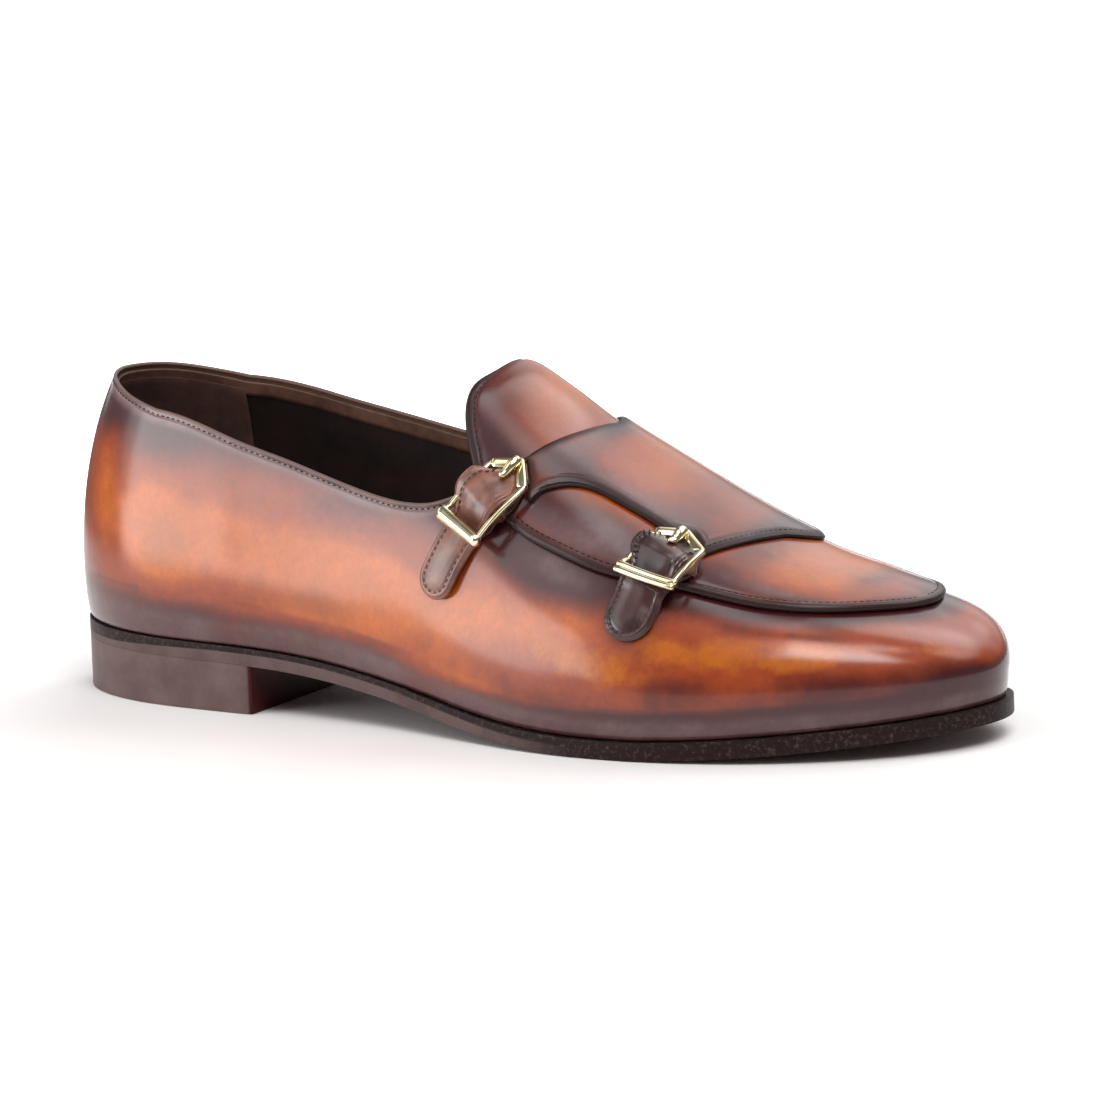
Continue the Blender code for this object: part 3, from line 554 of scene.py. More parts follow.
def makeHeelLining():
    near = np.array([lining["heelDrop"], 6.0, 12.0, 20.0])
    q = np.linspace(last["back"], lining["heelReach"], 40)
    low = np.repeat(np.linspace(98, 172, 8)[None], len(q), 0)

    def half(side):
        v = np.hstack([fromEdge(side, q, near, 6)[0], low])
        return across(q, v.shape[1]), side * v
    return innerPiece("heel_lining", half, 2 * lining["gap"], lining["heelThickness"])


# The apron, raised on the vamp and carried up into the tongue
apron = dict(
    top=142.4, blend=176.0, corner=(151.8, 44.4), rows=(152.4, 66, 26, 27),
    sag=1.5, crown=1.2, droop=1.9, stitchIn=2.4, lip=0.1, fall=0.3, groove=0.16,
    calm=15.0,  # v within which the toe's patina is held still, where the stations meet
    edge={  # q, v from the corner of the tongue to the toe
        -1: [(151.8, 44.4), (160.0, 48.8), (168.2, 51.2), (182.7, 51.4), (199.0, 50.2),
             (209.0, 47.4), (220.0, 44.4), (234.0, 42.0), (250.0, 39.0), (265.6, 33.4),
             (290.0, 26.4), (306.0, 24.2)],
        1: [(151.8, 44.4), (160.0, 49.0), (168.2, 51.6), (190.0, 53.4), (205.0, 53.2),
            (221.0, 51.6), (233.0, 48.8), (245.3, 45.4), (255.0, 41.8), (266.6, 37.4),
            (279.4, 32.2), (292.0, 27.4), (306.0, 24.2)]},
    end=[  # share of the half width from the edge to the ridge, q of the free end
        (0.0, 151.8), (0.1, 148.4), (0.22, 145.0), (0.36, 142.9), (0.55, 142.4), (0.78, 143.6),
        (1.0, 144.2)],
    patina={
        "burnish": [(146, -24, 14, 22, 0.75), (158, -42, 16, 10, 0.8), (146, 26, 14, 22, 0.7),
                    (160, 44, 16, 10, 0.7), (186, -42, 26, 12, 0.75), (212, -40, 24, 10, 0.7),
                    (228, -2, 9, 40, 0.5), (252, -35, 20, 6, 0.55), (284, -25, 12, 8, 0.35),
                    (306, -24, 22, 9, 0.6), (306, 24, 22, 9, 0.6), (252, 38, 24, 10, 0.7),
                    (280, 26, 18, 12, 0.7), (210, 46, 30, 10, 0.7)],
        "amber": [(160, -4, 14, 16, 0.6), (244, -12, 18, 18, 0.8), (262, -6, 16, 14, 0.6),
                  (244, 14, 20, 16, 0.7), (190, -30, 12, 10, 0.7), (154, 10, 12, 12, 0.5)],
        "gold": [(250, -20, 10, 8, 0.3)],
        # grey smoke, partly a smoky dye and partly painted sheen
        "smoke_sheen": [(192, -43, 16, 6, 0.75), (245, -33, 18, 4, 0.7), (236, -27, 10, 5, 0.15),
                  (196, -35, 8, 4, 0.4), (270, -27, 10, 4, 0.2), (149, -24, 5, 12, 0.25),
                  (192, 44, 18, 6, 0.6), (248, 32, 20, 6, 0.6)],
        "red": [(232, -14, 12, 30, 0.5), (272, -4, 16, 16, 0.6), (150, -4, 12, 14, 0.4)]})


def apronPlace():
    near = np.array([0, 0.35, 0.7, 1.1, 1.5, 1.8, 2.1, 2.4, 2.7, 3.0, 3.5, 4.3, 5.5, 7.5])
    top, blend, (start, sideRows, toeRows, acrossRows) = (
        apron["top"], apron["blend"], apron["rows"])
    oneWay = np.r_[top + near, np.linspace(start, last["toePivot"], sideRows),
                   np.linspace(last["toePivot"], last["tip"], toeRows)[1:]]
    ring = []
    for side, stations in ((-1, oneWay), (1, oneWay[::-1][1:])):
        table = np.asarray(apron["edge"][side])
        for q0 in stations:
            keep = ease((blend - q0) / (blend - top))
            edge = curve(table, max(q0 + (apron["corner"][0] - top) * keep, table[0, 0]))[0]
            half = 58.0 * edge / 50 if q0 < 250 else 30.0  # the half width, roughly
            close = near / max(half, 12)
            share = np.r_[close, close[-1]
                          + (1 - close[-1]) * np.linspace(0, 1, acrossRows)[1:]]
            q = q0 + keep * (curve(apron["end"], share)[:, 0] - top)
            edge = curve(table, max(q[0], table[0, 0]))[0]
            ring.append([q, side * np.maximum(edge * (1 - share), 1e-9)])
    return np.array(ring).swapaxes(0, 1)


def apronSag(q, v):
    dip = apron["sag"] * ease((151 - q) / 9) * ease((34 - np.abs(v)) / 30)
    dip = dip + apron["droop"] * ease((150 - q) / 8) ** 2 * ease((30 - np.abs(v)) / 22)
    return dip - apron["crown"] * ease((q - 142) / 13) * ease((174 - q) / 12) * ease(
        (22 - np.abs(v)) / 18)


def makeApron():
    q, v = apronPlace()
    bed = last["gap"] - apronSag(q, v)
    flat = skin(q, v, bed + last["apron"])
    border = np.vstack([flat[0, ::-1], flat[:, 0], flat[-1]])
    edge = edgeDistance(flat, border)
    lip = (apron["lip"] * hump(edge - 1.2, 0.9) - apron["fall"] * ease((0.7 - edge) / 0.7) ** 2
           - apron["groove"] * hump(edge - apron["stitchIn"], 0.45))
    turned = np.maximum(q - last["toePivot"], 0)
    marks = patinaMarks(apron["patina"], q - turned * ease(1 - np.abs(v) / apron["calm"]), v, edge)
    return shell("apron_leather", skin(q, v, bed + last["apron"] + lip), skin(q, v, bed), marks,
                 rim=0.75)


def apronBed(q, v):  # height of whatever the strap lies on above the upper
    edge = np.where(v < 0, curve(apron["edge"][-1], q)[..., 0], curve(apron["edge"][1], q)[..., 0])
    return (last["gap"] + last["apron"]) * ease((edge + 7.5 - np.abs(v)) / 4.5)


# Flat coordinates along each strap end: a up towards the saddle, b towards the toe
lanes = {
    "rear": [(168.4, -31.0), (163.3, -42.0), (152.4, -58.9), (147.2, -67.7), (142.7, -76.0)],
    "front": [(217.4, -20.0), (215.2, -31.5), (211.9, -46.8), (209.5, -57.7), (207.6, -69.7)]}

buckles = {
    "rear": dict(
        width=17.8, side=19.2, point=25.9, bar=1.7, tall=1.7, apex=1.15, pin=10.0,
        low=(4.8, 6.6), high=(4.9, 6.4), under=2.9, pinHeight=3.1, up=-0.4, toeward=1.2,
        turn=0.05, roll=0.14, rods=[(0.0, 0.7, 2.0)]),  # the low bar: shift, overhang, radius
    "front": dict(
        width=20.0, side=15.4, point=21.2, bar=1.8, tall=1.7, apex=1.1, pin=8.5,
        low=(5.8, 7.6), high=(5.1, 6.5), under=2.9, pinHeight=3.8, up=-1.2, toeward=1.3,
        turn=0.1, roll=0.15, rods=[(-0.8, 0.4, 0.95), (0.85, 0.4, 0.95)])}

strips = {  # bed: (a, height of the underside); over: a where the strip spills over its frame
    "rear": dict(width=11.8, end=-22.5, plump=0.9, spill=2.8, over=(1.5, 17.0), bed=[
        (-30.0, 0.5), (-6.0, 0.5), (0.0, 0.6), (3.0, 1.4), (7.0, 4.2), (10.0, 5.1), (13.0, 4.8),
        (17.0, 3.4), (21.0, 2.65), (25.0, 2.6), (30.0, 2.6)]),
    "front": dict(width=13.8, end=-19.5, plump=0.9, spill=2.2, over=(0.8, 13.5), bed=[
        (-30.0, 0.5), (-9.5, 0.5), (-6.0, 1.3), (-3.5, 2.5), (0.0, 2.6), (3.0, 3.4),
        (6.0, 5.1), (8.5, 5.4), (11.0, 4.8), (14.5, 3.1), (17.5, 2.65), (21.0, 2.6),
        (30.0, 2.6)])}


# Places on the last, and how they move with q and with v. A step below zero looks back.
def slopes(q, v, step=0.1, level=2.0):
    spots, small = skin(q, v, level), abs(step)
    return spots, (skin(q + step, v, level) - spots) / step, (
        skin(q, v + small, level) - spots) / small


def shiftOf(push, dq, dv):  # the change of q and v that moves a place by push
    qq, qv, vv = (dq * dq).sum(1), (dq * dv).sum(1), (dv * dv).sum(1)
    sq, sv = (push * dq).sum(1), (push * dv).sum(1)
    return np.c_[sq * vv - sv * qv, sv * qq - sq * qv] / (qq * vv - qv * qv)[:, None]


# Both strips: narrower and thinner into the seam, higher where they spill over the frame.
# Plump, rolled and groove shape it across, each by a height and distances from the edge.
strip = dict(neck=1.3, blunt=9.0, thin=0.42, rise=0.7, plump=0.35, plumpFrom=1.9, plumpWide=3.0,
             rolled=0.7, rolledWide=0.9, groove=0.26, grooveAt=1.7, grooveWide=0.36)


def laneOf(name):
    p = np.asarray(lanes[name], float)
    run = np.r_[0, np.cumsum(np.hypot(*np.diff(p, axis=0).T))]
    u = np.linspace(-0.12 * run[-1], 1.12 * run[-1], 400)
    place = spline(run, p, u)
    spots, dq, dv = slopes(*place.T)
    length = runOf(spots)
    a = np.interp(run[2], u, length) - length
    side = shiftOf(unit(np.cross(np.cross(dq, dv), np.gradient(spots, axis=0))), dq, dv)
    side *= np.sign(side[:, :1])
    return a[::-1], np.c_[place, side][::-1]


laneTables = {name: laneOf(name) for name in lanes}


def onLane(name, a, b):
    knots, table = laneTables[name]
    q, v, qAcross, vAcross = [np.interp(a, knots, col) for col in table.T]
    return q + b * qAcross, v + b * vAcross


def lanePoint(name, a, b, height):
    return skin(*onLane(name, a, b), height)


def onFrame(name, a, b, height):  # a point in a buckle's own coordinates
    size = buckles[name]
    return lanePoint(name, a + size["up"] + size["turn"] * b,
                     b + size["toeward"] - size["turn"] * a, height + size["roll"] * b)


def seam(name, b):  # where the strap end dives under the pointed bar
    size = buckles[name]
    aside = b - size["toeward"] + size["turn"] * size["point"]
    slope = (size["point"] - size["side"]) / (size["width"] / 2)
    return size["point"] - 0.2 - slope * np.abs(aside) + size["up"] + size["turn"] * aside


# The saddle strap over the instep
saddle = dict(
    rear=[(0.0, 177.3), (13.0, 174.3), (25.0, 168.8), (40.0, 160.6), (52.4, 153.4),
          (61.0, 146.4), (75.0, 138.6), (92.0, 133.6), (115.0, 131.0), (138.0, 130.0)],
    front=[(0.0, 230.8), (6.0, 233.4), (12.0, 234.9), (20.0, 234.2), (26.5, 231.4),
           (39.0, 225.6), (50.0, 220.9), (61.0, 215.6), (75.0, 210.0), (92.0, 206.0),
           (115.0, 203.6), (138.0, 202.8)],
    cutOut=[(171.4, -43.2), (172.3, -41.4), (173.8, -38.6), (175.9, -36.2), (180.2, -32.3),
            (186.6, -29.2), (195.0, -28.0), (203.2, -27.4)],
    end=138.0,
    pads=((181, 14, 34, 10), (172, 4, -22, 4)),  # q of the start, rise; v of the end, fade
    rolled=(0.4, 1.0),         # fall at the very edge, width
    lip=(0.1, 0.35, 2.6),      # fall towards the edge, more where it is padded, width
    crease=(0.07, 3.6, 0.5),   # a line inside the lip: depth, place, width
    arms={"rear": [-1.6, 0.0, 2.8, 5.6], "front": [-6.3, -2.1, 2.1, 6.3]},  # b across each
    sides=[[(174.3, -13.0), (170.4, -23.1)], [(226.4, -15.3)]],  # edges of the outer half
    rows=(15, 55, 27), down=(26, 120), overlap=0.6,
    patina={
        "burnish": [(178, -3, 5, 10, 0.7), (176, -30, 14, 9, 0.7), (192, -26, 22, 6, 0.6),
                    (214, -24, 12, 12, 0.75), (230, -4, 7, 50, 0.8), (178, 4, 6, 30, 0.35),
                    (168, 30, 8, 20, 0.5),
                    (226, 36, 9, 30, 0.7), (150, 62, 10, 20, 0.5), (212, 72, 10, 26, 0.6),
                    (150, 110, 40, 22, 0.5), (190, 116, 40, 22, 0.6)],
        "amber": [(198, -8, 14, 11, 0.5), (192, 14, 18, 16, 0.7), (186, 44, 18, 18, 0.8),
                  (178, 74, 18, 16, 0.7)],
        "gold": [(186, 56, 10, 12, 0.3)],
        # grey smoke, partly a smoky dye and partly painted sheen
        "smoke_sheen": [(196, -23, 16, 4, 0.6), (172, -24, 10, 5, 0.4), (214, -20, 8, 8, 0.3),
                  (178, -14, 4, 8, 0.3), (200, 108, 30, 24, 0.3), (160, 104, 20, 20, 0.3)],
        "red": [(208, 6, 12, 20, 0.5), (180, -12, 12, 16, 0.3), (196, 60, 12, 18, 0.5),
                (170, 92, 24, 14, 0.6)]})


def strapPlace():  # the outer half fills in between four edge lines, the inner one runs down
    few, many, some = saddle["rows"]
    thirds = {"rear": np.linspace(0, 3, few), "front": np.linspace(0, 3, some)}
    arms = []
    for name, at in thirds.items():
        b = np.interp(at, range(4), saddle["arms"][name])
        arms.append(np.stack(onLane(name, seam(name, b) + saddle["overlap"], b), -1))
    rear, front = arms
    cut = along([rear[-1], *saddle["cutOut"], front[0]], np.linspace(0, 1, many))
    bottom = np.vstack([rear, cut[1:-1], front])
    c = np.r_[np.linspace(0, 3, few), np.linspace(3, 12, many)[1:-1],
              np.linspace(12, 18, some)] / 18
    down, inner = saddle["down"]
    r = 1 - np.r_[np.linspace(1, 0.2, down), np.linspace(0.2, 0, down)[1:]]
    startRear, startFront = saddle["rear"][0][1], saddle["front"][0][1]
    top = np.c_[startRear + (startFront - startRear) * c, 0 * c - 1e-9]
    left, right = [along([top[k], *between, bottom[k]], r)
                   for k, between in zip((0, -1), saddle["sides"])]
    s, t = c[None, :, None], r[:, None, None]
    outerHalf = ((1 - t) * top[None] + t * bottom[None] + (1 - s) * left[:, None]
                 + s * right[:, None] - (1 - t) * (1 - s) * top[0] - (1 - t) * s * top[-1]
                 - t * (1 - s) * bottom[0] - t * s * bottom[-1])
    v = np.linspace(0, saddle["end"], inner)[:, None]
    start, stop = curve(saddle["rear"], v[:, 0]), curve(saddle["front"], v[:, 0])
    innerHalf = np.stack([start + (stop - start) * c[None], np.maximum(v, 1e-9) + 0 * c], -1)
    return np.moveaxis(np.concatenate([outerHalf[::-1], innerHalf[1:]]), -1, 0)


def makeSaddle():
    q, v = strapPlace()
    bed = last["gap"] + apronBed(q, v)
    flat = skin(q, v, bed + last["strap"])
    edge = edgeDistance(flat, borderOf(flat))
    padded = np.maximum(*[
        ease((q - start) / rise) * ease((stop - far) / fade)
        for (start, rise, stop, fade), far in zip(saddle["pads"], (np.abs(v), v))])
    fall, reach = saddle["rolled"]
    plain, more, lipWide = saddle["lip"]
    depth, at, wide = saddle["crease"]
    lip = (-fall * ease((reach - edge) / reach) ** 2
           - (plain + more * padded) * ease((lipWide - edge) / lipWide)
           - depth * padded * hump(edge - at, wide))
    outer, inner = skin(q, v, bed + last["strap"] + lip), skin(q, v, bed)
    return shell("saddle_strap", outer, inner, patinaMarks(saddle["patina"], q, v, edge), rim=0.5)


def spill(name, a, share):  # how far the strip bulges over the frame's heelward side
    low, high = strips[name]["over"]
    return ease((a - low) / 6) * ease((high - a) / 4) * np.clip(-share, 0, 1) ** 1.5


def makeStrip(name):
    size = strips[name]
    half, end, start = size["width"] / 2, size["end"], seam(name, 0.0)
    share = np.sin(np.linspace(-1, 1, 33) * np.pi / 2)
    tip = end + half - half * np.cos(np.linspace(0, np.pi / 2, 22))
    a = np.r_[tip, np.linspace(end + half, start, 90)[1:]]
    wide = half * np.sqrt(np.clip(1 - ((end + half - a) / half) ** 2, 0, 1))
    wide = np.where(a >= end + half, half, wide) - strip["neck"] * ease((a - start + 10) / 4)
    wide = wide + size["plump"] * ease((a - 0.5) / 4) * ease((start - 6 - a) / 5)
    b = wide[:, None] * share[None]
    over = spill(name, a[:, None], share[None])
    edge = np.where(a[:, None] >= end + half, wide[:, None] - np.abs(b),
                    half - np.hypot(end + half - a[:, None], b))
    blunt = ease((a - start + strip["blunt"]) / strip["blunt"])[:, None]
    rolled = buckles[name]["roll"] * (ease((a - 1) / 5) * ease((start - 5 - a) / 7))[:, None]
    a = a[:, None] + blunt * (seam(name, b) - start)
    b = b - size["spill"] * over
    bed = curve(size["bed"], a)[..., 0] + rolled * b + strip["rise"] * over
    crown = (last["strip"] * (1 - strip["thin"] * blunt)
             + strip["plump"] * ease((edge - strip["plumpFrom"]) / strip["plumpWide"])
             - strip["rolled"] * ease((strip["rolledWide"] - edge) / strip["rolledWide"]) ** 2
             - strip["groove"] * hump(edge - strip["grooveAt"], strip["grooveWide"]))
    return shell("tip_" + name, lanePoint(name, a, b, bed + crown), lanePoint(name, a, b, bed),
                 rim=0.5)


chape = dict(thickness=1.1, gap=0.08, bottom=-1.5, short=0.8, narrow=5.4, top=4.4,
             wide={"rear": 8.0, "front": 8.8}, widest=0.5, rounded=0.16)


def makeChape(name):  # the leather that holds the buckle's pin, near-black as painted shade under the buckle
    low, stop = chape["bottom"], seam(name, 0.0) - chape["short"]
    u, count = np.linspace(0, 1, 46), 23
    wide = chape["narrow"] + (chape["wide"][name] - chape["narrow"]) * ease(
        u / chape["widest"])
    wide = wide + (chape["top"] - chape["wide"][name]) * ease((u - 0.55) / 0.45)
    wide = wide * np.sqrt(np.clip(1 - (1 - np.minimum(u / chape["rounded"], 1)) ** 2, 0, 1))
    b = wide[:, None] * np.sin(np.linspace(-1, 1, count) * np.pi / 2)[None]
    q, v = onLane(name, across(low + (stop - low) * u, count), b)
    bed = apronBed(q, v) + chape["gap"]
    return shell("chape_" + name, skin(q, v, bed + chape["thickness"]), skin(q, v, bed), rim=0.5)


# Rows of stitches: a path on the last, moved sideways by a set distance, then sewn along.
# Lengths are millimetres, and turn slants a stitch, in radians.
stitching = dict(
    topline=dict(pitch=2.0, length=1.35, width=0.42, height=0.34, turn=0.0),
    apron=dict(pitch=2.0, length=1.6, width=0.34, height=0.22, turn=0.0),
    strap=dict(pitch=2.0, length=1.6, width=0.36, height=0.24, turn=0.0),
    tip=dict(pitch=1.9, length=1.45, width=0.5, height=0.42, turn=0.0),
    whip=dict(pitch=1.75, length=2.3, width=0.6, height=0.5, turn=1.15),
    sunk=dict(topline=0.1, apron=0.12, strap=0.2), strapInside=(-1.5, 1.7))


def insetLine(q, v, distance):  # a line on the last, moved to its left by distance
    spots, dq, dv = slopes(q, v, -0.1)
    left = np.cross(unit(skin(q, v, 3.0) - spots), unit(np.gradient(spots, axis=0)))
    return (np.c_[q, v] + shiftOf(left * distance, dq, dv)).T


def evenLine(spots, ups, pitch):  # the same line with points at even steps
    run = runOf(spots)
    at = np.linspace(0, run[-1], max(int(run[-1] / pitch), 2))
    return [np.stack([np.interp(at, run, c) for c in data.T], 1) for data in (spots, ups)]


def stitchTree():
    tree = bpy.data.node_groups.new("stitchRow", "GeometryNodeTree")
    new = tree.interface.new_socket
    new("Geometry", in_out="INPUT", socket_type="NodeSocketGeometry")
    for key, value in (("Pitch", 0.002), ("Length", 0.0016), ("Width", 0.0005),
                       ("Height", 0.0004), ("Turn", 0.0)):
        new(key, in_out="INPUT", socket_type="NodeSocketFloat").default_value = value
    new("Thread", in_out="INPUT", socket_type="NodeSocketMaterial")
    new("Geometry", in_out="OUTPUT", socket_type="NodeSocketGeometry")
    start, end = tree.nodes.new("NodeGroupInput"), tree.nodes.new("NodeGroupOutput")
    read = start.outputs
    path = addNode(tree, "GeometryNodeMeshToCurve", {"Mesh": read["Geometry"]})
    even = addNode(tree, "GeometryNodeResampleCurve", {"Curve": path.outputs[0],
                   "Length": read["Pitch"]}, mode="LENGTH")
    bead = addNode(tree, "GeometryNodeMeshUVSphere", {"Segments": 8, "Rings": 5, "Radius": 0.5})
    smooth = addNode(tree, "GeometryNodeSetShadeSmooth", {0: bead.outputs["Mesh"]})
    size = addNode(tree, "ShaderNodeCombineXYZ", {0: read["Length"], 1: read["Width"],
                   2: read["Height"]})
    lengthways = addNode(tree, "FunctionNodeAlignRotationToVector", {
        "Vector": addNode(tree, "GeometryNodeInputTangent").outputs[0]}, axis="X")
    up = addNode(tree, "GeometryNodeInputNamedAttribute", {"Name": "up"},
                 data_type="FLOAT_VECTOR")
    upright = addNode(tree, "FunctionNodeAlignRotationToVector", {
        "Rotation": lengthways.outputs[0], "Vector": up.outputs[0]}, axis="Z", pivot_axis="X")
    slant = addNode(tree, "FunctionNodeAxisAngleToRotation", {"Axis": (0.0, 0.0, 1.0),
                    "Angle": read["Turn"]})
    turned = addNode(tree, "FunctionNodeRotateRotation", {
        "Rotation": upright.outputs[0], "Rotate By": slant.outputs[0]}, rotation_space="LOCAL")
    sewn = addNode(tree, "GeometryNodeInstanceOnPoints", {
        "Points": even.outputs[0], "Instance": smooth.outputs[0],
        "Rotation": turned.outputs[0], "Scale": size.outputs[0]})
    real = addNode(tree, "GeometryNodeRealizeInstances", {0: sewn.outputs[0]})
    thread = addNode(tree, "GeometryNodeSetMaterial", {"Geometry": real.outputs[0],
                     "Material": read["Thread"]})
    tree.links.new(thread.outputs[0], end.inputs[0])
    return tree


def sewRows(name, rows, size, thread):
    points, edges, ups = [], [], []
    for spots, up in rows:
        spots, up = evenLine(spots, up, 0.6)
        edges += [(len(points) + k, len(points) + k + 1) for k in range(len(spots) - 1)]
        points += (spots * mm + origin).tolist()
        ups += up.tolist()
    mesh = bpy.data.meshes.new(name)
    mesh.from_pydata(points, edges, [])
    setMark(mesh, "up", ups, "FLOAT_VECTOR", "vector")
    row = addObject(name, mesh)
    sewing = row.modifiers.new("sewing", "NODES")
    sewing.node_group = bpy.data.node_groups.get("stitchRow") or stitchTree()
    sockets = {item.name: item.identifier for item in sewing.node_group.interface.items_tree
               if item.in_out == "INPUT"}
    for key in ("pitch", "length", "width", "height"):
        sewing[sockets[key.capitalize()]] = size[key] * mm
    sewing[sockets["Turn"]] = size["turn"]
    sewing[sockets["Thread"]] = thread
    done = bpy.data.meshes.new_from_object(row.evaluated_get(
        bpy.context.evaluated_depsgraph_get()))
    row.modifiers.remove(sewing)
    row.data = done
    done.name = name
    return row


def toplineRow():
    oneWay = np.unique(ringStations(40, 90, 2))
    oneWay = oneWay[oneWay < 157]
    q, v = roundTheHeel(lambda side: (
        oneWay, side * fromEdge(side, oneWay, (0.0, upper["stitchIn"]), 1)[0][:, 1]))
    return [(skin(q, v, swell(q, v) - stitching["sunk"]["topline"]), outward(q, v))]


def apronBorder():
    start, corner = apron["corner"]
    q, share = np.linspace(start, last["tip"], 120), np.linspace(0, 1, 40)
    outer, inner = [np.c_[q, side * curve(apron["edge"][side], q)[:, 0]] for side in (-1, 1)]
    endQ, wide = curve(apron["end"], share)[:, 0], corner * (1 - share)
    free = np.r_[np.c_[endQ, -wide], np.c_[endQ, wide][::-1][1:]]
    return np.vstack([outer[::-1], free[1:-1], inner])


def apronRow():
    q, v = insetLine(*apronBorder().T, -apron["stitchIn"])
    off = last["gap"] + last["apron"] - apronSag(q, v) - stitching["sunk"]["apron"]
    return [(skin(q, v, off)[4:-4], outward(q, v)[4:-4])]


def strapRows():
    rows = []
    q, v = strapPlace()
    for column, inside in zip((0, -1), stitching["strapInside"]):
        line = np.c_[q[:, column], v[:, column]]
        keep = np.r_[True, np.hypot(*np.diff(line, axis=0).T) > 1e-6]
        lineQ, lineV = insetLine(*line[keep].T, inside)
        off = (last["gap"] + apronBed(lineQ, lineV) + last["strap"]
               - stitching["sunk"]["strap"])
        spots = np.stack([np.convolve(np.pad(c, 3, "edge"), np.ones(7) / 7, "valid")
                          for c in skin(lineQ, lineV, off).T], 1)
        rows.append((spots[6:-3], outward(lineQ, lineV)[6:-3]))
    return rows


def tipRow(name, way, inside=strip["grooveAt"], sunk=0.22):
    size = strips[name]
    half, end = size["width"] / 2 - inside, size["end"] + inside
    t = np.linspace(0, np.pi / 2, 24)[1:]
    straight = np.linspace(seam(name, 0.0) - 6, end + half, 60)
    a = np.r_[straight, end + half - half * np.sin(t)]
    b = way * np.r_[np.full(60, half), half * np.cos(t)]
    over = spill(name, a, b / (size["width"] / 2))
    height = curve(size["bed"], a)[..., 0] + last["strip"] - sunk + strip["rise"] * over
    q, v = onLane(name, a, b - size["spill"] * over)
    return skin(q, v, height), outward(q, v)


# Buckles and their pins. Their bars are round or soft-cornered squares in section.
frameBar = dict(
    rounding=0.9, pitch=0.7, sides=20, square=0.5,
    rise=0.9, lift=(1.5, 1.2),   # the climb at the point; where the drop at the foot ends, run
    sunk=(1.1, 0.9),             # how much lower the heelward side lies: top, underside
    sunkFrom=(1.5, 2.0),         # where that starts from the foot, its run
    bearing=1.7, pointDeep=0.4,  # the bar reaches down at the pin, and partly at the point
    dome=0.12, fall=0.25,        # of its top: in the middle, at the point's outer edge
    pin=(0.8, 3.2, 0.7),         # short of the side, height before the roll, radius
    rodLift=0.3)                 # low bars above the middle of the frame's foot


def filletLoop(corners, radius, pitch):  # a closed line with its corners rounded
    path = []
    for k, here in enumerate(corners):
        before, after = corners[k - 1], corners[(k + 1) % len(corners)]
        p0, p2 = [here + unit(other - here) * radius for other in (before, after)]
        for t in np.linspace(0, 1, 7):
            path.append((1 - t) ** 2 * p0 + 2 * t * (1 - t) * here + t * t * p2)
        far = after + unit(here - after) * radius
        steps = max(int(np.linalg.norm(far - p2) / pitch), 1)
        path += [p2 + (far - p2) * t for t in np.linspace(0, 1, steps + 1)[1:-1]]
    return np.array(path)


def tube(rings, closed=False):  # rings of points joined in order, ends capped or joined
    n, m = rings.shape[:2]
    faces = [[i * m + j, (i + 1) % n * m + j, (i + 1) % n * m + (j + 1) % m, i * m + (j + 1) % m]
             for i in range(n if closed else n - 1) for j in range(m)]
    if not closed:
        faces += [list(range(m))[::-1], [(n - 1) * m + j for j in range(m)]]
    return rings.reshape(-1, 3), faces


def signedPower(x, power):
    return np.sign(x) * np.abs(x) ** power


def rod(name, a, halfWide, level, radius):  # a round bar across a buckle, with domed ends
    t = np.linspace(0, 2 * np.pi, 20, endpoint=False)
    ends = 1 - np.cos(np.linspace(0, np.pi / 2, 5))
    dome = np.sqrt(1 - (1 - ends) ** 2)
    b = np.r_[-halfWide + ends * radius * 0.8, np.linspace(-halfWide, halfWide, 22)[3:-3],
              halfWide - ends[::-1] * radius * 0.8]
    size = np.maximum(np.r_[dome, np.ones(16), dome[::-1]], 0.02) * radius
    return tube(np.array([onFrame(name, a + r * np.cos(t), bi, level(bi) + r * np.sin(t))
                          for bi, r in zip(b, size)]))


def frameTube(name):
    size = buckles[name]
    bar, tall, side = size["bar"], size["tall"], size["side"]
    half = size["width"] / 2 - bar / 2
    corners = np.array([(0, -half), (side, -half), (size["point"] - bar / 2, 0), (side, half),
                        (0, half)])
    loop = filletLoop(corners, frameBar["rounding"], frameBar["pitch"])
    step = unit(np.roll(loop, -1, 0) - np.roll(loop, 1, 0))
    normal = np.c_[-step[:, 1], step[:, 0]]
    inward = np.sign((normal * -loop).sum(1) + (normal * [side / 2, 0]).sum(1))
    normal = normal * -inward[:, None]
    a, b = loop.T
    rise = ease((a - side) / frameBar["rise"])
    lift = ease((frameBar["lift"][0] - a) / frameBar["lift"][1])
    level = size["under"] - size["roll"] * b
    under = level + (size["high"][0] - level) * rise + (size["low"][0] - level) * lift
    over = size["low"][1] + (size["high"][1] - size["low"][1]) * np.clip(a / side, 0, 1)
    foot, run = frameBar["sunkFrom"]
    sunk = ease(-b / half * 3 - 1.5) * ease((a - foot) / run) * (1 - rise)
    over, under = over - frameBar["sunk"][0] * sunk, under - frameBar["sunk"][1] * sunk
    slim = (1 - hump(a - size["pin"], frameBar["bearing"])) * (
        1 - frameBar["pointDeep"] * rise) * (1 - lift)
    under = under + np.maximum(over - tall - under, 0) * slim
    t = np.linspace(0, 2 * np.pi, frameBar["sides"], endpoint=False) + np.pi / frameBar["sides"]
    rings = []
    for x, z in zip(*[signedPower(part(t), frameBar["square"]) for part in (np.cos, np.sin)]):
        wide = bar / 2 + (size["apex"] * rise if x < 0 else 0 * rise)
        spotA, spotB = (loop + normal * (x * wide)[:, None]).T
        crown = frameBar["dome"] * (1 - x ** 2) - frameBar["fall"] * rise * max(-x, 0)
        crown = crown if z > 0.5 else 0
        rings.append(onFrame(name, spotA, spotB, (under + over) / 2 + (over - under) / 2 * z
                             + crown))
    return tube(np.swapaxes(np.array(rings), 0, 1), closed=True)


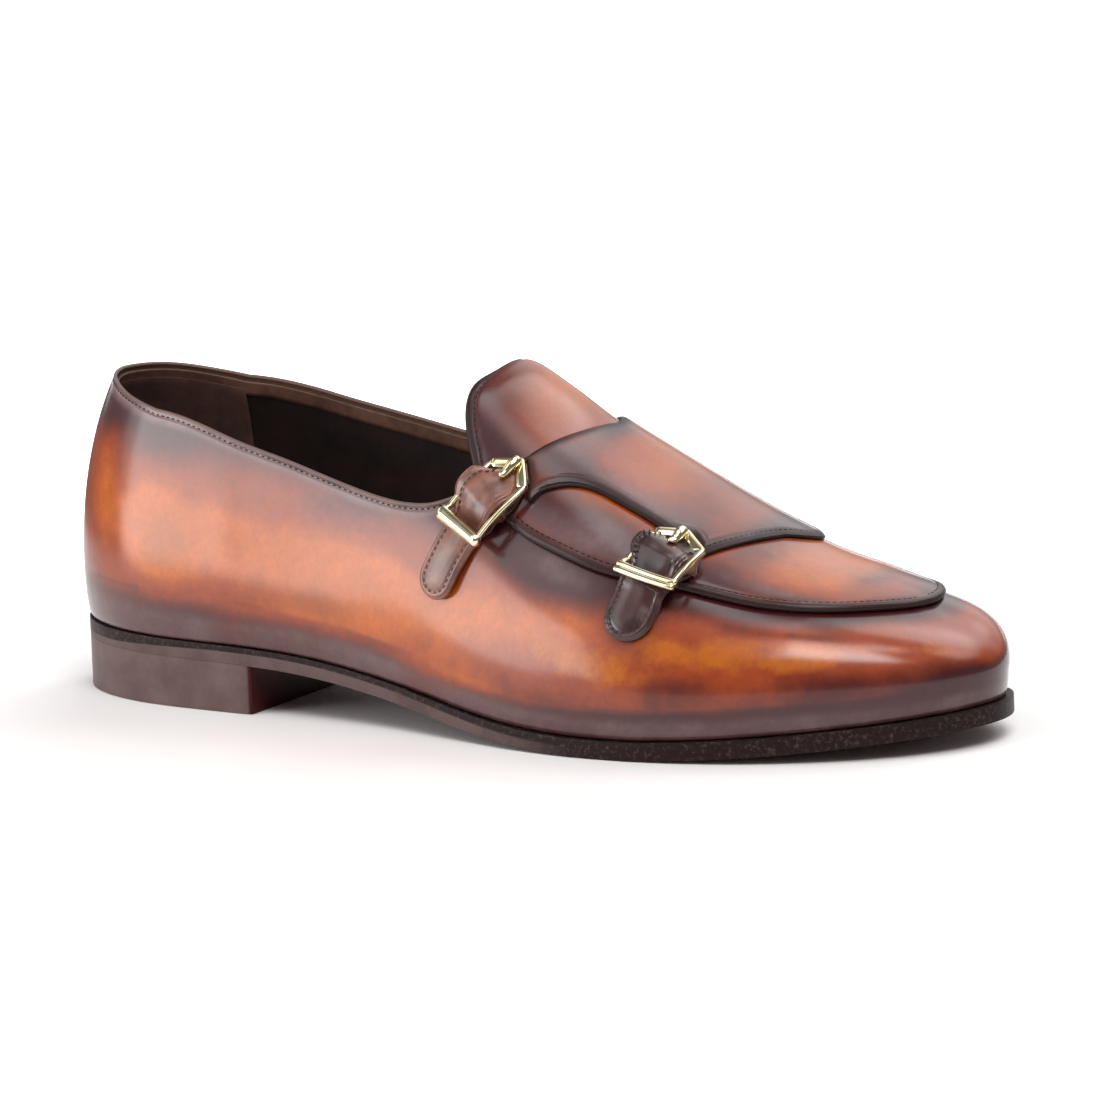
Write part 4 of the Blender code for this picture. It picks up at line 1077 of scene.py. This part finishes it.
def joinPieces(name, parts):
    points, faces, start = [], [], 0
    for spots, polys in parts:
        points.append(spots)
        faces += [[p + start for p in f] for f in polys]
        start += len(spots)
    piece = meshPiece(name, np.vstack(points), faces)
    bm = bmesh.new()
    bm.from_mesh(piece.data)
    bmesh.ops.recalc_face_normals(bm, faces=bm.faces)
    bm.to_mesh(piece.data)
    bm.free()
    return piece


# The prong's line: how far before the frame's point, height above its bar
prong = dict(line=[(6.8, 0.6), (4.6, 0.9), (2.8, 1.05), (1.0, 0.95)], root=8.6, rootLift=1.9,
             radius=0.95, flat=1.25, thick=0.35, thickAt=0.62, thickWide=0.3)


def makeBuckle(name):
    size = buckles[name]
    half, middle = size["width"] / 2, sum(size["low"]) / 2 + frameBar["rodLift"]
    short, height, pinRadius = frameBar["pin"]
    parts = [frameTube(name), rod(name, size["pin"], half - short, lambda b: max(
        size["pinHeight"], height - size["roll"] * b), pinRadius)]
    parts += [rod(name, shift, half + past, lambda b: middle, radius)
              for shift, past, radius in size["rods"]]
    return joinPieces("buckle_gold_" + name, parts)


def makeProng(name):
    top, tip = buckles[name]["high"][1], buckles[name]["point"]
    root = tip - prong["root"]
    line = [(root, curve(strips[name]["bed"], root)[0] + last["strip"] + prong["rootLift"])]
    line += [(tip - back, top + over) for back, over in prong["line"]]
    u, t = np.linspace(0, 1, 22), np.linspace(0, 2 * np.pi, 20, endpoint=False)
    r = (prong["radius"] * np.sqrt(np.clip(1 - (2 * u - 1) ** 10, 0.02, 1))
         * (1 + prong["thick"] * hump(u - prong["thickAt"], prong["thickWide"])))
    rings = [onFrame(name, a, prong["flat"] * ri * np.cos(t), h + ri * np.sin(t))
             for (a, h), ri in zip(along(line, u), r)]
    return joinPieces("prong_gold_" + name, [tube(np.array(rings))])


# Sole, heel and sock
bottom = dict(
    soleRound=0.8, soleSquare=0.1, heelRound=0.7, heelSquare=0.04,
    joint=7.0,   # seam between the heel's top piece and its stack, above the floor
    close=0.02,  # the heel's top under the sole
    seatLine=[(-20, 3.8), (10, 3.4), (30, 2.7), (60, 1.7), (100, 1.2), (150, 1.0), (310, 1.1)])


def plate(name, loop, s, under, over, marks=None, **rim):
    outer, inner = widths(loop, s)
    share = (1 - np.cos(np.linspace(0, np.pi, 41))) / 2
    top, low = [np.stack(np.broadcast_arrays(s[:, None], outer[:, None]
                + (inner - outer)[:, None] * share[None], height[:, None]), -1)
                for height in (over, under)]
    return shell(name, top, low, marks, **rim)


def addMark(piece, key, rule):  # a value at each corner, from where it stands on the last
    spots = np.zeros(len(piece.data.vertices) * 3)
    piece.data.vertices.foreach_get("co", spots)
    setMark(piece.data, key, rule(*((spots.reshape(-1, 3) - origin) / mm).T))
    return piece


def makeOutsole():
    loop = planLoop(0.0, -bottom["soleRound"])
    s = endStations(loop[:, 0].min(), loop[:, 0].max(), 170)
    sole = plate("sole_leather", loop, s, soleUnder(s), soleTop(s), rimOut=bottom["soleRound"],
                 square=bottom["soleSquare"], rings=15)

    def inked(x, y, z):  # black at the seat and all over the forepart's edge
        seat = curve(bottom["seatLine"], x)[..., 0] - (soleTop(x) - z)
        return np.maximum(seat / 0.4 + 0.5, (x - 150) / 60)
    return addMark(sole, "ink", inked)


def makeHeel():
    loop = planLoop(0.0, -0.04 - bottom["heelRound"])
    s = endStations(loop[:, 0].min(), last["breast"] - bottom["heelRound"], 90, both=False)
    marks = {"breast": np.where(s > s[-1] - 0.05, 1.0, 0.0)[:, None]}
    heel = plate("heel_block", loop, s, 0 * s, soleUnder(s) - bottom["close"], marks,
                 rimOut=bottom["heelRound"], square=bottom["heelSquare"], rings=21)
    return addMark(heel, "ink", lambda x, y, z: 0.32 * hump(z - bottom["joint"], 0.35))


def makeSock():
    loop = planLoop(1.0, -last["wall"] - 0.9)
    s = endStations(loop[:, 0].min(), loop[:, 0].max(), 120)
    under = soleTop(s) + 2 * last["gap"] + last["wall"]
    return plate("sock", loop, s, under, under + last["insole"], rimOut=0.5, square=0.5, rings=5)


# Materials
def tint(code):  # a colour from its screen code to linear light
    parts = np.array([int(code[k:k + 2], 16) / 255 for k in (0, 2, 4)])
    linear = np.where(parts <= 0.04045, parts / 12.92, ((parts + 0.055) / 1.055) ** 2.4)
    return (*linear.tolist(), 1.0)


def newGroup(name, inputs, outputs):
    group = bpy.data.node_groups.new(name, "ShaderNodeTree")
    for key, (kind, value) in inputs.items():
        socket = group.interface.new_socket(key, in_out="INPUT", socket_type=kind)
        if value is not None:
            socket.default_value = value
    for key, kind in outputs.items():
        group.interface.new_socket(key, in_out="OUTPUT", socket_type=kind)
    return group, group.nodes.new("NodeGroupInput"), group.nodes.new("NodeGroupOutput")


def smoothStep(tree, value, low, high):
    return addNode(tree, "ShaderNodeMapRange", {"Value": value, "From Min": low, "From Max": high},
                   interpolation_type="SMOOTHSTEP").outputs["Result"]


def between(tree, value, low, high, start=0.0, stop=1.0):  # start to stop laid over low to high
    return addNode(tree, "ShaderNodeMapRange", {
        "Value": value, "From Min": start, "From Max": stop, "To Min": low,
        "To Max": high}).outputs["Result"]


def maths(tree, kind, one, two=0.0):
    return addNode(tree, "ShaderNodeMath", {0: one, 1: two}, operation=kind).outputs[0]


def plus(tree, one, two):
    return maths(tree, "ADD", one, two)


def minus(tree, one, two):
    return maths(tree, "SUBTRACT", one, two)


def times(tree, one, two):
    return maths(tree, "MULTIPLY", one, two)


def scaled(tree, vector, by):
    return addNode(tree, "ShaderNodeVectorMath", {0: vector, 3: by}, operation="SCALE").outputs[0]


def noise(tree, place, scale, detail=2.0, rough=0.5):
    return addNode(tree, "ShaderNodeTexNoise", {"Vector": place, "Scale": scale, "Detail": detail,
                   "Roughness": rough}).outputs["Fac"]


def markOf(tree, key):  # the value that a mesh carries under this name
    return addNode(tree, "ShaderNodeAttribute", attribute_name=key).outputs["Fac"]


def blendTo(tree, amount, one, two):
    return addNode(tree, "ShaderNodeMix", {0: amount, 6: one, 7: two},
                   data_type="RGBA").outputs[2]


def bump(tree, height, strength, distance, normal=None):
    links = {"Height": height, "Strength": strength, "Distance": distance}
    if normal:
        links["Normal"] = normal
    return addNode(tree, "ShaderNodeBump", links).outputs[0]


# Calf grain. Each noise is scale, detail, roughness.
calfGrain = dict(pores=1500.0, poreDepth=0.6, skin=(900.0, 4.0, 0.6), fleck=(330.0, 6.0, 0.65))


def grainGroup():
    group, start, end = newGroup(
        "calfGrain", {"Vector": ("NodeSocketVector", None), "Pore Size": ("NodeSocketFloat", 1.0)},
        {"Height": "NodeSocketFloat", "Fleck": "NodeSocketFloat"})
    place = scaled(group, start.outputs["Vector"], start.outputs["Pore Size"])
    pores = addNode(group, "ShaderNodeTexVoronoi", {"Vector": place, "Scale": calfGrain["pores"]},
                    feature="F1").outputs["Distance"]
    height = plus(group, times(group, pores, calfGrain["poreDepth"]),
                  noise(group, place, *calfGrain["skin"]))
    fill(group, end, {"Height": height, "Fleck": noise(group, place, *calfGrain["fleck"])})
    return group


# The hand-laid patina: its dyes, and how the drift of the dye moves their borders. The grey smoke
# is partly a smoky dye and partly painted sheen and reflection
patinaColours = {"Base": "913a12", "Amber": "b95a11", "Gold": "ab560d", "Red": "52140d",
                 "Burnish": "3c0f14", "Smoke_sheen": "6e5452", "Edge Paint": "1f0f11"}
fleshSide = "5d4033"
handPatina = dict(
    cloud=(42.0, 4.0, 0.6), rag=(150.0, 6.0, 0.68), drift=(1.5, 0.4),  # noises and their shares
    laid={  # in the order they go on: mask from nothing to full, sway of the border
        "Amber": (0.05, 0.95, 0.7), "Gold": (0.15, 0.85, 1.9), "Red": (0.05, 1.0, 1.0),
        "Burnish": (0.0, 1.0, 0.45), "Smoke_sheen": (0.0, 1.0, 0.6)},
    tone=(0.42, 0.72), toneShare=0.4,        # the dye takes unevenly over the hide
    mottle=(0.88, 1.12), speck=760.0, speckShade=(0.94, 1.06),
    rim=(0.25, 1.6), rimSway=3.0, rimShare=0.85, worn=(0.35, 1.0),
    rough=0.38, mottleRough=0.08, burnishRough=-0.03, polish=0.88, rimDull=-0.7)


def patinaGroup():
    look = handPatina
    inputs = {"Vector": ("NodeSocketVector", None), "Fleck": ("NodeSocketFloat", 0.5)}
    inputs.update({key: ("NodeSocketColor", None) for key in [*patinaColours, "Worn Edge And Sheen"]})
    inputs.update({key + " Mask": ("NodeSocketFloat", 0.0) for key in look["laid"]})
    inputs.update({key: ("NodeSocketFloat", value) for key, value in (
        ("Edge Distance", 0.0), ("Edge Width", 3.0), ("Worn And Sheen Width", 1.0))})
    group, start, end = newGroup("handPatina", inputs,
                                 {"Color": "NodeSocketColor", "Roughness": "NodeSocketFloat",
                                  "Polish": "NodeSocketFloat"})
    read = start.outputs
    cloud, rag = [noise(group, read["Vector"], *look[key]) for key in ("cloud", "rag")]
    drift = plus(group, *[times(group, minus(group, value, 0.5), share)
                          for value, share in zip((cloud, rag), look["drift"])])
    colour = blendTo(group, times(group, smoothStep(group, cloud, *look["tone"]),
                                  look["toneShare"]), read["Base"], read["Red"])
    masks = {}
    for key, (low, high, sway) in look["laid"].items():
        mask = read[key + " Mask"]
        near = maths(group, "MINIMUM", times(group, mask, 4.0), 1.0)  # no drift where none lies
        moved = plus(group, mask, times(group, drift, times(group, sway, near)))
        masks[key] = smoothStep(group, moved, low, high)
        colour = blendTo(group, masks[key], colour, read[key])
    mottle = smoothStep(group, plus(group, rag, times(group, read["Fleck"], 0.5)), 0.5, 1.05)
    speck = between(group, noise(group, read["Vector"], look["speck"]), *look["speckShade"],
                    0.3, 0.7)
    colour = scaled(group, colour, times(group, speck, between(group, mottle, *look["mottle"])))
    ragged = plus(group, read["Edge Distance"], times(group, drift, look["rimSway"]))
    # The worn band at the very edge; on the upper its light colour is a painted highlight on the
    # rolled rim
    rim, worn = [minus(group, 1.0, smoothStep(group, maths(group, "DIVIDE", gap, read[wide]),
                                              *look[key]))
                 for gap, wide, key in ((ragged, "Edge Width", "rim"),
                                        (read["Edge Distance"], "Worn And Sheen Width", "worn"))]
    colour = blendTo(group, times(group, rim, look["rimShare"]), colour, read["Edge Paint"])
    colour = blendTo(group, worn, colour, read["Worn Edge And Sheen"])
    rough = plus(group, times(group, mottle, look["mottleRough"]),
                 times(group, masks["Burnish"], look["burnishRough"]))
    dull = times(group, maths(group, "MAXIMUM", rim, worn), look["rimDull"])
    fill(group, end, {"Color": colour, "Roughness": plus(group, rough, look["rough"]),
                      "Polish": plus(group, dull, look["polish"])})
    return group


grain, patina = grainGroup(), patinaGroup()


def startMaterial(name):
    material = bpy.data.materials.new(name)
    material.use_nodes = True
    tree = material.node_tree
    tree.nodes.clear()
    shader = tree.nodes.new("ShaderNodeBsdfPrincipled")
    out = tree.nodes.new("ShaderNodeOutputMaterial")
    fill(tree, out, {"Surface": shader.outputs[0]})
    return material, tree, shader, tree.nodes.new("ShaderNodeTexCoord").outputs["Object"]


def setShader(tree, shader, **values):
    fill(tree, shader, {key.replace("_", " "): value for key, value in values.items()})


def patinaLeather(name, edgeWidth, wornAndSheenWidth, wornEdgeAndSheen):
    material, tree, shader, place = startMaterial(name)
    hide = addNode(tree, "ShaderNodeGroup", {0: place, 1: 1.0}, node_tree=grain)
    links = {"Vector": place, "Fleck": hide.outputs["Fleck"], "Worn Edge And Sheen": tint(wornEdgeAndSheen),
             "Edge Distance": markOf(tree, "edge"), "Edge Width": edgeWidth,
             "Worn And Sheen Width": wornAndSheenWidth}
    links.update({key: tint(code) for key, code in patinaColours.items()})
    links.update({key + " Mask": markOf(tree, key.lower()) for key in handPatina["laid"]})
    dye = addNode(tree, "ShaderNodeGroup", links, node_tree=patina)
    under = smoothStep(tree, markOf(tree, "under"), 0.5, 0.8)
    colour = blendTo(tree, under, dye.outputs["Color"], tint(fleshSide))
    pulled = bump(tree, noise(tree, place, 60.0, 3.5, 0.45), 0.8, 0.0007)
    setShader(tree, shader, Base_Color=colour, Roughness=dye.outputs["Roughness"],
              Normal=bump(tree, hide.outputs["Height"], 0.28, 0.00007, pulled),
              Coat_Weight=dye.outputs["Polish"], Coat_Roughness=0.15, IOR=1.45,
              Specular_IOR_Level=0.25)
    return material


def plainLeather(name, light, dark, rough, pore=1.0, relief=0.00006, coat=0.0, shine=0.5,
                 paint=None):
    material, tree, shader, place = startMaterial(name)
    hide = addNode(tree, "ShaderNodeGroup", {0: place, 1: pore}, node_tree=grain)
    fleck = hide.outputs["Fleck"]
    cloud = plus(tree, noise(tree, place, 90.0, 5.0), times(tree, fleck, 0.4))
    colour = blendTo(tree, smoothStep(tree, cloud, 0.45, 0.95), tint(dark), tint(light))
    if paint:
        colour = paint(tree, place, colour)
    setShader(tree, shader, Base_Color=colour, Coat_Weight=coat, Coat_Roughness=0.18,
              Roughness=between(tree, fleck, rough - 0.05, rough + 0.06),
              Specular_IOR_Level=shine, Normal=bump(tree, hide.outputs["Height"], 0.4, relief))
    return material


# Edge ink where the sole or the heel carries its mark, rubbed in places, and a stain
edgeInk = dict(noise=(850.0, 4.0, 0.7), rub=(0.5, 0.68), share=0.5, rubbed="5a4a47")


def bottomLeather(name, light, dark, inked, stain, rough, ink, stained):
    def paint(tree, place, colour):
        worn = times(tree, smoothStep(tree, noise(tree, place, *edgeInk["noise"]),
                                      *edgeInk["rub"]), edgeInk["share"])
        for key, coat in ((ink, blendTo(tree, worn, tint(inked), tint(edgeInk["rubbed"]))),
                          (stained, tint(stain))):
            colour = blendTo(tree, smoothStep(tree, markOf(tree, key), 0.2, 0.8), colour, coat)
        return colour
    return plainLeather(name, light, dark, rough, shine=0.16, paint=paint)


def goldMetal(name):
    material, tree, shader, place = startMaterial(name)
    brushed, wear = noise(tree, place, 700.0, 3.0), noise(tree, place, 160.0, 4.0)
    colour = blendTo(tree, smoothStep(tree, wear, 0.35, 0.7), tint("efdcae"), tint("faf0d4"))
    setShader(tree, shader, Base_Color=colour, Metallic=1.0,
              Roughness=between(tree, wear, 0.09, 0.2), Normal=bump(tree, brushed, 0.15, 0.00003))
    return material


# Name, width of the dark edge paint and of the worn edge, colour of the worn edge. On the upper
# that light taupe edge is a painted highlight along the topline's rolled rim
calf = patinaLeather("calf_patina", 0.9, 1.25, "6b534c")
apronCalf = patinaLeather("calf_patina_apron", 2.4, 0.5, "2b1b19")
strapCalf = patinaLeather("calf_patina_strap", 2.6, 0.3, "241514")
# Name, light and dark colour, roughness
thread = plainLeather("waxed_thread", "1d1110", "0f0808", 0.65, shine=0.08)
tipThread = plainLeather("waxed_thread_tips", "4d342e", "2a1a18", 0.5)
# The rear tip is coloured lighter and rosier than the front; that lightness is painted sheen on
# the same dark leather
tipCalf = {"rear": plainLeather("calf_dark_rear_painted_sheen", "925f4c", "5a342b", 0.34, coat=0.5),
           "front": plainLeather("calf_dark_front", "4c2a27", "261213", 0.3, coat=0.5)}
# The chape's near-black colour is painted shade where the buckle shades the upper
chapeShadeCalf = plainLeather("calf_chape_painted_shade", "3a211d", "1c0f0e", 0.45, coat=0.15)
liningCalf = plainLeather("lining_dark", "2a1614", "140a0a", 0.6)
heelSuede = plainLeather("heel_suede", "5c3c32", "3c2621", 0.75, pore=1.4, relief=0.0001)
bandCalf = plainLeather("topline_turned", "7e5a4c", "583a30", 0.55, shine=0.3)
soleEdge = bottomLeather("sole_edge", "645350", "51423f", "150b0a", "4a1c18", 0.42, "ink",
                         "under")
heelEdge = bottomLeather("heel_stack", "6b5753", "5b4845", "1f1210", "3e1517", 0.4, "ink",
                         "breast")
sockCalf = plainLeather("sock_leather", "6a4430", "4c2e20", 0.55)
gold = goldMetal("polished_gold")
print("materials made")


def dress(piece, material, slot, *nodes):
    piece.data.materials.clear()
    piece.data.materials.append(material)
    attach(piece, "root")
    if nodes:
        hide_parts(*nodes)
    return piece


dress(makeUpper(), calf, "patina_leather", "upper")
dress(makeApron(), apronCalf, "patina_leather", "apron")
dress(makeSaddle(), strapCalf, "patina_leather", "monk_strap")
print("upper, apron and saddle strap made")
dress(makeLining(), liningCalf, "dark_leather")
dress(makeBand(), bandCalf, "dark_leather")
dress(makeHeelLining(), heelSuede, "dark_leather")
print("linings made")
for end in ("rear", "front"):
    dress(makeStrip(end), tipCalf[end], "dark_leather", "strap_tip_" + end)
    dress(makeChape(end), chapeShadeCalf, "dark_leather")
    dress(makeBuckle(end), gold, "gold", "buckle_" + end)
    dress(makeProng(end), gold, "gold", "prong_" + end)
print("strap tips and buckles made")
dress(makeOutsole(), soleEdge, "sole_leather", "outsole")
dress(makeHeel(), heelEdge, "heel_stack", "heel")
dress(makeSock(), sockCalf, "insole_board", "insole")
print("sole, heel and sock made")
sewn = {"stitches_topline": (toplineRow(), "topline"), "stitches_apron": (apronRow(), "apron"),
        "stitches_strap": (strapRows(), "strap"),
        "stitches_tip_rear": ([tipRow("rear", 1), tipRow("rear", -1)], "tip"),
        "stitches_tip_front": ([tipRow("front", 1)], "tip"),
        "stitches_tip_whip": ([tipRow("front", -1, 0.9, 0.15)], "whip")}
for name, (rows, kind) in sewn.items():
    yarn = tipThread if kind in ("tip", "whip") else thread
    dress(sewRows(name, rows, stitching[kind], yarn), yarn, "dark_leather")
print("stitches sewn")


# Floor, light and camera. The paper lies under the shoe as a table, and beyond it only the
# left sweep throws light back up, so that the leather's reflections keep their edges.
studio = dict(
    floorSize=24.0, drop=-0.0002, paper=("f0eeed", "f4f2f1"), dark=0.05,
    table=0.36, tableFade=0.5, fill=0.16, zenith=3.0, zenithRise=(76.0, 88.0),
    leftSweep=(-51.0, 17.5, 4.0), sweepSoft=6.0,  # azimuth, half width, radiance
    lift=(0.12, 0.42), liftShare=0.28,            # the floor's own light, seen from the camera
    softboxes=[  # azimuth from the front, half width, lowest and highest elevation,
                 # radiance, softness of the sides, of the top and bottom
        (-45.0, 19.0, -6.0, 19.0, 4.9, 4.0, 3.0), (-69.0, 6.0, 3.0, 19.0, 1.7, 6.0, 3.0),
        (-34.0, 16.0, 19.0, 70.0, 1.7, 8.0, 8.0), (44.0, 27.0, 44.0, 61.0, 9.4, 8.0, 6.0),
        (58.0, 44.0, 62.0, 69.0, 5.6, 14.0, 5.0), (157.0, 17.0, 38.0, 78.0, 3.3, 10.0, 8.0),
        (-175.0, 24.0, 15.0, 62.0, 1.2, 12.0, 10.0), (124.0, 14.0, 36.0, 54.0, 2.8, 8.0, 8.0),
        (-95.0, 24.0, 12.0, 40.0, 0.9, 8.0, 6.0), (-150.0, 30.0, -14.0, 4.0, 2.2, 8.0, 4.0)])


def vectorMaths(tree, kind, one, two=(0.0, 0.0, 0.0)):
    return addNode(tree, "ShaderNodeVectorMath", {0: one, 1: two}, operation=kind).outputs


def floorPaper():
    material, tree, shader, place = startMaterial("floor_paper")
    colour = blendTo(tree, smoothStep(tree, noise(tree, place, 12.0, 3.0), 0.3, 0.7),
                     *[tint(code) for code in studio["paper"]])
    far = vectorMaths(tree, "LENGTH", place)["Value"]
    unseen = minus(tree, 1.0, addNode(tree, "ShaderNodeLightPath").outputs["Is Camera Ray"])
    swing, spread, radiance = studio["leftSweep"]
    facing = vectorMaths(tree, "DOT_PRODUCT", vectorMaths(tree, "NORMALIZE", place)["Vector"],
                         (np.sin(np.radians(swing)), -np.cos(np.radians(swing)), 0.0))["Value"]
    inSweep = smoothStep(tree, facing, *[np.cos(np.radians(spread + side * studio["sweepSoft"]))
                                         for side in (1, -1)])
    farOff = smoothStep(tree, far, studio["table"], studio["tableFade"])
    dim = times(tree, times(tree, unseen, farOff), minus(tree, 1.0, inSweep))
    lift = times(tree, minus(tree, 1.0, unseen), times(tree, smoothStep(
        tree, far, *studio["lift"]), studio["liftShare"]))
    glow = blendTo(tree, plus(tree, lift, times(tree, times(tree, inSweep, unseen), farOff)),
                   (0.0, 0.0, 0.0, 1.0), (1.0, 1.0, 1.0, 1.0))
    setShader(tree, shader, Roughness=0.7, Emission_Color=glow, Emission_Strength=radiance,
              Base_Color=blendTo(tree, dim, colour, (*[studio["dark"]] * 3, 1.0)))
    return material


reach = studio["floorSize"] / 2
floorMesh = bpy.data.meshes.new("floor")
floorMesh.from_pydata([(x * reach, y * reach, studio["drop"]) for x, y in (
    (-1, -1), (1, -1), (1, 1), (-1, 1))], [], [(0, 1, 2, 3)])
floor = addObject("floor", floorMesh)
floor.data.materials.append(floorPaper())
floor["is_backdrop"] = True


def softboxGroup():  # a bright panel in the sky between two azimuths and two elevations
    keys = ("Azimuth", "Elevation", "Middle", "Half Width", "Base", "Top", "Radiance",
            "Side Softness", "Rise Softness")
    group, start, end = newGroup("softbox", {key: ("NodeSocketFloat", 0.0) for key in keys},
                                 {"Light": "NodeSocketFloat"})
    read = start.outputs
    apart = addNode(group, "ShaderNodeMath", {
        0: minus(group, read["Azimuth"], read["Middle"]), 1: 180.0, 2: -180.0},
        operation="WRAP").outputs[0]
    light = read["Radiance"]
    for gap, soft in ((minus(group, read["Half Width"], maths(group, "ABSOLUTE", apart)), "Side"),
                      (minus(group, read["Elevation"], read["Base"]), "Rise"),
                      (minus(group, read["Top"], read["Elevation"]), "Rise")):
        fade = maths(group, "DIVIDE", gap, read[soft + " Softness"])
        light = times(group, light, smoothStep(group, fade, -1.0, 1.0))
    fill(group, end, {"Light": light})
    return group


world = bpy.data.worlds.new("studio")
world.use_nodes = True
tree = world.node_tree
sky = addNode(tree, "ShaderNodeSeparateXYZ", {0: tree.nodes.new(
    "ShaderNodeTexCoord").outputs["Generated"]}).outputs
around = maths(tree, "DEGREES", maths(tree, "ARCTAN2", sky["X"], times(tree, sky["Y"], -1.0)))
rise = maths(tree, "DEGREES", maths(tree, "ARCSINE", sky["Z"]))
light = plus(tree, times(tree, smoothStep(tree, rise, *studio["zenithRise"]), studio["zenith"]),
             studio["fill"])
panel = softboxGroup()
for middle, half, low, high, radiance, sideSoft, riseSoft in studio["softboxes"]:
    light = plus(tree, light, addNode(tree, "ShaderNodeGroup", {
        "Azimuth": around, "Elevation": rise, "Middle": middle, "Half Width": half, "Base": low,
        "Top": high, "Radiance": radiance, "Side Softness": sideSoft,
        "Rise Softness": riseSoft}, node_tree=panel).outputs["Light"])
seen = addNode(tree, "ShaderNodeLightPath").outputs["Is Camera Ray"]
shown = addNode(tree, "ShaderNodeMix", {0: seen, 2: light, 3: 1.0}).outputs[0]
tree.links.new(shown, tree.nodes["Background"].inputs["Color"])
bpy.context.scene.world = world
bpy.context.scene.view_settings.view_transform = "Standard"

view = dict(azimuth=30.845, elevation=10.691, roll=-2.164, distance=2.3913, lens=271.1,
            farthest=50.0, aim=(0.0063, 0.0053, 0.0469))
turn, tilt, lean = np.radians([view["azimuth"], view["elevation"], view["roll"]])
forward = Vector((-np.sin(turn) * np.cos(tilt), np.cos(turn) * np.cos(tilt), -np.sin(tilt)))
level = Vector((np.cos(turn), np.sin(turn), 0.0))
right = level * np.cos(lean) + level.cross(forward) * np.sin(lean)
upward = right.cross(forward)
cameraData = bpy.data.cameras.new("camera")
cameraData.lens = view["lens"]
cameraData.clip_end = view["farthest"]
camera = addObject("camera", cameraData)
spot = Vector(view["aim"]) - forward * view["distance"]
camera.matrix_world = Matrix.Translation(spot) @ Matrix((
    (right.x, upward.x, -forward.x), (right.y, upward.y, -forward.y),
    (right.z, upward.z, -forward.z))).to_4x4()
bpy.context.scene.camera = camera
print("floor, lights and camera placed")

low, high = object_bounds()
